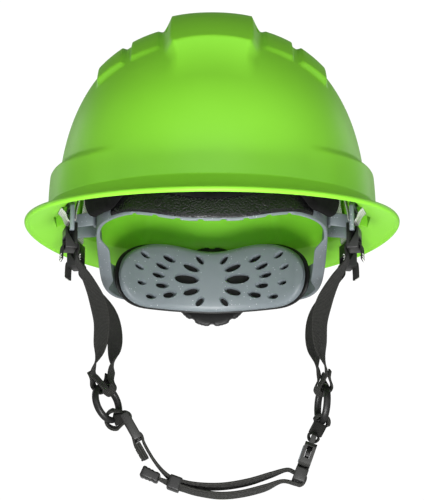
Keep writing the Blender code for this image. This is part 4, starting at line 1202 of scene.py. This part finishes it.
def side_strap(label, side_x, side_y, top, turns, body):
    """Webbing from a hook's eye to the top of a divider ring, looped round both."""
    place = station(side_x, side_y)
    local = [
        (KEY_MID + EYE_REACH + 0.2 * MM, 0, -31 * MM),
        (KEY_MID + EYE_REACH, 0, -23.6 * MM),
        (KEY_MID + EYE_REACH - 0.8 * MM, 0, -20.7 * MM),
        (KEY_MID + 2.4 * MM, 0, -19.9 * MM),
        (KEY_MID - 2.4 * MM, 0, -19.9 * MM),
        (KEY_MID - EYE_REACH + 0.8 * MM, 0, -20.7 * MM),
        (KEY_MID - EYE_REACH, 0, -23.6 * MM),
        (KEY_MID - EYE_REACH + 0.4 * MM, 0, -31 * MM),
    ]
    route = [place @ Vector(p) for p in local]
    tangent = place.to_3x3() @ Vector((0, side_x, 0))
    sides = [tangent] * len(route)
    widths = [16 * MM] * len(route)
    angle = math.pi / 2 - side_y * math.radians(25)
    spot, out, along = ring_spot(top, turns, angle)
    if along.y < 0:
        along = -along
    across = Vector((side_x, 0, 0))
    across = (across - along * across.dot(along)).normalized()
    hold = RING_TUBE + GAP + WEB_THICK / 2 + 1.3 * MM
    start = route[-1]
    above = spot - across * 1.3 * MM + out * 12 * MM
    for share, twist, width in ((0.18, 0.5, 17), (0.38, 0.8, 19), (0.58, 0.8, 18), (0.8, 0.65, 15)):
        middle = start.lerp(above, share)
        bow = math.sin(math.pi * share)
        middle += Vector((-side_x * STRAP_BOW * bow, side_y * 3 * MM * bow, 0))
        route.append(middle)
        sides.append(Vector((side_x * twist, 1, 0)))
        widths.append(width * MM)
    loop = [(-1.3 * MM, 12 * MM), (-1.6 * MM, 7 * MM)]
    for turn in (160, 195, 232, 270, 308, 345, 380):
        angle = math.radians(turn)
        loop.append((hold * math.cos(angle), hold * math.sin(angle)))
    loop += [(1.6 * MM, 7 * MM), (1.3 * MM, 12 * MM)]
    for aside, away in loop:
        route.append(spot + across * aside + out * away)
        sides.append(along)
        widths.append(7 * MM)
    made = webbing(f"side_webbing_{label}", route, sides, widths, WEB, 7)
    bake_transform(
        made, "helmet", body, start=(side_x * 80 * MM, 0, -48 * MM), end=(side_x * 76 * MM, 0, -104 * MM)
    )
    place_on(made, body, f"side_strap_{label}")
    across_eye = place.to_3x3() @ REARWARD
    for face, name in ((1, "outer"), (-1, "inner")):
        middle = place @ Vector((KEY_MID + face * (EYE_REACH + WEB_THICK / 2), 0, -29.5 * MM))
        rows = (-1.8 * MM, 0, 1.8 * MM)
        tack_place = frame_at(middle, across_eye * face, UP)
        tack = stitches(
            f"bar_tack_{label}_{name}", tack_place, 13 * MM, rows, 2 * MM, radius=TACK_RADIUS
        )
        place_on(tack, "helmet")


def endless_band(name, first, second, body, node_name):
    """A loop of webbing round two bars; each is (middle, radius of the turn, way along the bar)."""
    run = (second[0] - first[0]).normalized()
    rings, along, travelled, last = [], [], 0.0, None
    section = web_profile(WEB_LINK, LINK_WEB_THICK, WEB_RIM)
    steps = 14
    for (middle, radius, side), start in ((second, -90), (first, 90)):
        side = (side - run * side.dot(run)).normalized()
        lift = side.cross(run)
        for k in range(steps + 1):
            turn = math.radians(start + 180 * k / steps)
            out = run * math.cos(turn) + lift * math.sin(turn)
            spot = middle + out * radius
            rings.append([spot + side * x + out * y for x, y in section])
            if last is not None:
                travelled += (spot - last).length
            last = spot
            along.append(travelled)
    around = [x for x, _ in section]
    made = loft(name, rings, WEB, closed=True, spans=(along, around))
    place_on(made, body, node_name)
    side = first[2] - run * first[2].dot(run)
    place = frame_at((first[0] + second[0]) / 2, side, run)
    half = (WEB_LINK / 2 - 0.3 * MM, LINK_FOLD_HALF, min(first[1], second[1]) + 0.6 * MM)
    fold = soften(box(name + "_fold", tuple(-part for part in half), half, WEB, place), 0.8 * MM)
    place_on(fold, body)


def ladder_frame():
    return frame_at(LADDER_MIDDLE, (0, 1, 0), LADDER_AXIS)


def buckle_frame():
    """X across the buckle, Y along it towards the female half, Z through its thickness."""
    return frame_at(BUCKLE_SEAM, (0, 1, 0), BUCKLE_AXIS)


def links():
    spot, _, along = ring_spot(RIGHT_RING_TOP, RIGHT_RING_TURN, math.radians(-65))
    bar = ladder_frame() @ Vector((0, -LADDER_BAR, 0))
    first = (spot, RING_TUBE + GAP + WEB_THICK / 2 + 3.5 * MM, along)
    second = (bar, 2.1 * MM + GAP + WEB_THICK / 2, Vector((0.2, 1, 0.1)))
    endless_band("link_webbing_loop_right", first, second, "chin_right", "link_webbing_right")
    spot, _, along = ring_spot(LEFT_RING_TOP, LEFT_RING_TURN, math.radians(-90))
    bar = buckle_frame() @ Vector((0, BUCKLE_BAR, 0))
    first = (spot, RING_TUBE + GAP + WEB_THICK / 2 + 1.9 * MM, along * -1)
    second = (bar, 2.5 * MM + GAP + WEB_THICK / 2, REARWARD)
    endless_band("link_webbing_loop_left", first, second, "chin_left", "link_webbing_left")


def chin_webbing():
    """From the ladder lock, through the keeper, round the buckle's bar and back to the tail."""
    ladder = ladder_frame()
    bar = LADDER_BAR
    from_ladder = [
        (bar + 15 * MM, 4.4 * MM),
        (bar + 5 * MM, 4.2 * MM),
        (bar + 0.6 * MM, 3.2 * MM),
        (bar - 2.4 * MM, 2.2 * MM),
        (bar - 3.2 * MM, 0),
        (bar - 2.4 * MM, -2.2 * MM),
        (bar + 0.6 * MM, -3.2 * MM),
        (bar + 6 * MM, -2.0 * MM),
    ]
    facing = 1 if (ladder.to_3x3() @ UP).x < 0 else -1
    route = [ladder @ Vector((0, along, out * facing)) for along, out in from_ladder]
    run_out = [(-39.5, -164.8), (-32, -173.6), (-25, -178.4), (-12, -181.6), (6, -182.2), (24, -179.4)]
    run_out += [(40, -174.4), (51, -170.8)]
    route += [Vector((x * MM, 0, z * MM)) for x, z in run_out]
    buckle = buckle_frame()
    outward = 1 if (buckle.to_3x3() @ UP).x > 0 else -1
    turn_round = [(-4.2, -4.6), (-4.0, -1.4), (-4.0, 1.4), (-5.2, 3.9)]
    turn_round += [(-8.4, 4.2), (-11.0, 2.4), (-11.4, -1.0)]
    for along, out in turn_round:
        route.append(buckle @ Vector((0, along * MM, out * MM * outward)))
    run_back = [(48, -178.6), (36, -183.2), (20, -187.2), (5, -188.4), (-10, -186.2), (-19, -183.6)]
    run_back += [(-26.4, -181.2), (-36, -177.2)]
    route += [Vector((x * MM, 0, z * MM)) for x, z in run_back]
    sides = []
    for spot in route:
        free = step(spot.x + 36 * MM, 10 * MM) * step(46 * MM - spot.x, 10 * MM)
        sides.append(Vector((0, 1, -0.2 * free)))
    build = (WEB, 8, CHIN_WEB_THICK, CHIN_WEB_RIM)
    made = webbing("chin_webbing_strap", route, sides, [WEB_NARROW] * len(route), *build)
    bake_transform(made, "chin_right", "buckle_plug", start=(28 * MM, 0, -180 * MM), end=(50 * MM, 0, -173 * MM))
    place_on(made, "chin_right", "chin_webbing")
    for label, out in (("inner", 2.7 * MM), ("middle", 1.0 * MM)):
        layer = [ladder @ Vector((0, bar + along * MM, out * facing)) for along in (3.6, 8, 12, 15.4)]
        fold = webbing(f"webbing_fold_{label}", layer, [REARWARD] * 4, [WEB_NARROW] * 4, *build)
        place_on(fold, "chin_right")
    for k, along in enumerate((6, 10.5, 14)):
        spot = ladder @ Vector((0, bar + along * MM, 5.2 * MM * facing))
        face = ladder.to_3x3() @ Vector((0, 0, facing))
        place = frame_at(spot, REARWARD, face.cross(REARWARD))
        tack = stitches(f"fold_tack_{k}", place, 11 * MM, (0,), 2 * MM)
        place_on(tack, "chin_right")


def sleeve(name, place, half_width, half_length, half_height, wall, node_name, body):
    """Rounded sleeve with a rectangular way through it, along the frame's Y."""
    outline = rounded(rectangle(half_width, half_height), 1.6 * MM, 5)
    inner = rounded(rectangle(half_width - wall, half_height - wall), 0.8 * MM, 5)
    rings = []
    for loop, levels in ((outline, (-1, -0.9, -0.6, 0, 0.6, 0.9, 1)), (inner, (1, 0, -1))):
        for level in levels:
            inset = 1 - 0.05 * max(0.0, abs(level) - 0.88) / 0.12 if loop is outline else 1
            rings.append([place @ Vector((x * inset, level * half_length, z * inset)) for x, z in loop])
    made = loft(name, rings, BLACK, closed=True, sharp=40)
    return place_on(made, body, node_name)


def keeper():
    place = frame_at(KEEPER_MIDDLE, (0, 1, 0), KEEPER_AXIS)
    sizes = (WEB_NARROW / 2 + 2.4 * MM, 4.2 * MM, 4.9 * MM, 1.5 * MM)
    sleeve("strap_keeper_sleeve", place, *sizes, "strap_keeper", "keeper")


def pull_tab():
    """Chunky moulded grip on the tail, with a waist and raised ribs."""
    place = frame_at(PULL_TAB_START, REARWARD, PULL_TAB_AXIS)
    rings = []
    for along, wide, high in (
        (0.4, 0.86, 0.7), (1.0, 0.93, 0.85), (2.6, 0.95, 0.95), (4.0, 0.96, 0.86), (5.4, 0.96, 0.86),
        (6.2, 0.98, 0.98), (7.4, 0.98, 0.88), (8.8, 1.0, 1.0), (10.0, 1.0, 0.92), (11.4, 1.0, 1.04),
        (12.7, 0.98, 1.0), (13.3, 0.92, 0.85),
    ):
        section = rounded(rectangle(8.5, 3.8), 1.8, 5)
        rings.append([place @ Vector((x * wide * MM, along * MM, z * high * MM)) for x, z in section])
    made = loft("pull_tab_grip", rings, BLACK)
    place_on(made, "chin_right", "pull_tab")


def rails(name, place, across, along, half_thick, body):
    """Raised side rails of a frame, clear of the webbing between them."""
    made = []
    for side in (-1, 1):
        low, high = sorted((across[0] * side, across[1] * side))
        corners = ((low, along[0], -half_thick), (high, along[1], half_thick))
        made.append(soften(box(f"{name}_{side}", *corners, BLACK, place), 0.7 * MM))
    place_on(join(name, made), body)


def buckle_plate():
    """Pale plate let into the face of the buckle's housing that looks towards the throat."""
    place = buckle_frame()
    face = -1 if (place.to_3x3() @ UP).x > 0 else 1
    levels = sorted((4.0 * MM * face, 4.75 * MM * face))
    outline = [(x, y + 9.4 * MM) for x, y in oval(8.6 * MM, 5.6 * MM, 40, 5)]
    made = extrusion("buckle_face_plate", outline, place, levels[0], levels[1], GREY)
    place_on(soften(made, 0.3 * MM), "chin_left")


divider_ring("right", RIGHT_RING_TOP, RIGHT_RING_TURN, "chin_right")
divider_ring("left", LEFT_RING_TOP, LEFT_RING_TURN, "chin_left")
for side_y, end in ((-1, "front"), (1, "rear")):
    side_strap(f"{end}_right", -1, side_y, RIGHT_RING_TOP, RIGHT_RING_TURN, "chin_right")
    side_strap(f"{end}_left", 1, side_y, LEFT_RING_TOP, LEFT_RING_TURN, "chin_left")
links()
chin_webbing()
keeper()
pull_tab()
buckle_plate()
ladder_rail = ((8.4 * MM, 11.4 * MM), (-10 * MM, 10 * MM), 3.1 * MM)
rails("ladder_lock_rails", ladder_frame(), *ladder_rail, "chin_right")
buckle_rail = ((8.9 * MM, 13.2 * MM), (-9.6 * MM, -0.5 * MM), 4.4 * MM)
rails("buckle_base_rails", buckle_frame(), *buckle_rail, "buckle_plug")
copied("ladder_lock", "ladder_lock_frame", 0.7 * MM, BLACK, "chin_right", 3)
copied("buckle_female", "buckle_female_housing", 0.8 * MM, BLACK, "chin_left", 3)
copied("buckle_male", "buckle_male_base", 0.8 * MM, BLACK, "buckle_plug", 3)
copied("buckle_prong_front", "buckle_prong_arm_front", 0.4 * MM, BLACK, "prong_front")
copied("buckle_prong_rear", "buckle_prong_arm_rear", 0.4 * MM, BLACK, "prong_rear")
for kept, finish in (
    ("ratchet_pinion", BLACK), ("rack_left", GREY), ("rack_right", GREY), ("knob_screw", STEEL)
):
    NODES[kept].data.materials.clear()
    NODES[kept].data.materials.append(finish)


# ---------------------------------------------------------------- studio


def stage_material(name, colour, roughness, glow):
    look = Look(name, colour, roughness)
    lighter = tuple(min(1.0, part * 1.03) for part in colour)
    look.vary(look.noise(2.0, 2.0), colour, lighter, "Base Color")
    look.put("Emission Color", (1, 1, 1, 1))
    look.put("Emission Strength", glow)
    return look.material


def studio():
    scene = bpy.context.scene
    scene.view_settings.view_transform = "Standard"
    world = bpy.data.worlds.new("studio")
    world.use_nodes = True
    world.node_tree.nodes["Background"].inputs["Color"].default_value = (1, 1, 1, 1)
    nodes, links = world.node_tree.nodes, world.node_tree.links
    where = nodes.new("ShaderNodeTexCoord").outputs["Generated"]
    parts = nodes.new("ShaderNodeSeparateXYZ")
    fade = map_range(nodes, 0.05, 0.6, 0.36, 0.1)
    toward = add_node(nodes, "ShaderNodeVectorMath", operation="DOT_PRODUCT")
    toward.inputs[1].default_value = BACKDROP_WAY
    backdrop = map_range(nodes, 0.9, 0.982, 0, 1.05)
    brighter = add_node(nodes, "ShaderNodeMath", operation="MAXIMUM")
    links.new(where, parts.inputs["Vector"])
    links.new(where, toward.inputs[0])
    links.new(parts.outputs["Z"], fade.inputs["Value"])
    links.new(toward.outputs["Value"], backdrop.inputs["Value"])
    links.new(fade.outputs["Result"], brighter.inputs[0])
    links.new(backdrop.outputs["Result"], brighter.inputs[1])
    links.new(brighter.outputs["Value"], nodes["Background"].inputs["Strength"])
    scene.world = world
    paint = stage_material("floor_paint", (0.82, 0.82, 0.81), 0.7, 0.14)
    floor = box("studio_floor", (-4, -4, -0.62), (4, 4, -0.6), paint)
    for name, spot, aim, size, power in (
        ("key_light", (0, -2.4, 0.2), (0, 0, 0), 2.2, 38),
        ("left_light", (-2.0, -1.4, 0.1), (0, 0, 0), 1.0, 9),
        ("right_light", (2.0, -1.4, 0.1), (0, 0, 0), 1.0, 10),
        ("rear_light_left", (-1.5, 1.5, 0.7), (0, 0, 0), 0.8, 4),
        ("rear_light_right", (1.5, 1.5, 0.7), (0, 0, 0), 0.8, 4),
        ("low_light", (0, -0.45, -0.5), (0, 0.11, 0.03), 0.3, 7),
    ):
        lamp = bpy.data.lights.new(name, "AREA")
        lamp.size = size
        lamp.energy = power
        made = bpy.data.objects.new(name, lamp)
        made.location = spot
        made.rotation_euler = (Vector(aim) - Vector(spot)).to_track_quat("-Z", "Y").to_euler()
        scene.collection.objects.link(made)


def camera():
    lens = bpy.data.cameras.new("camera")
    lens.lens = LENS
    lens.sensor_width = 36
    lens.sensor_fit = "HORIZONTAL"
    made = bpy.data.objects.new("camera", lens)
    offset = Vector((0, -math.cos(VIEW_ELEVATION), math.sin(VIEW_ELEVATION))) * VIEW_DISTANCE
    made.location = VIEW_TARGET + offset
    made.rotation_euler = (-offset).to_track_quat("-Z", "Y").to_euler()
    bpy.context.scene.collection.objects.link(made)
    bpy.context.scene.camera = made


studio()
camera()
bpy.context.view_layer.update()
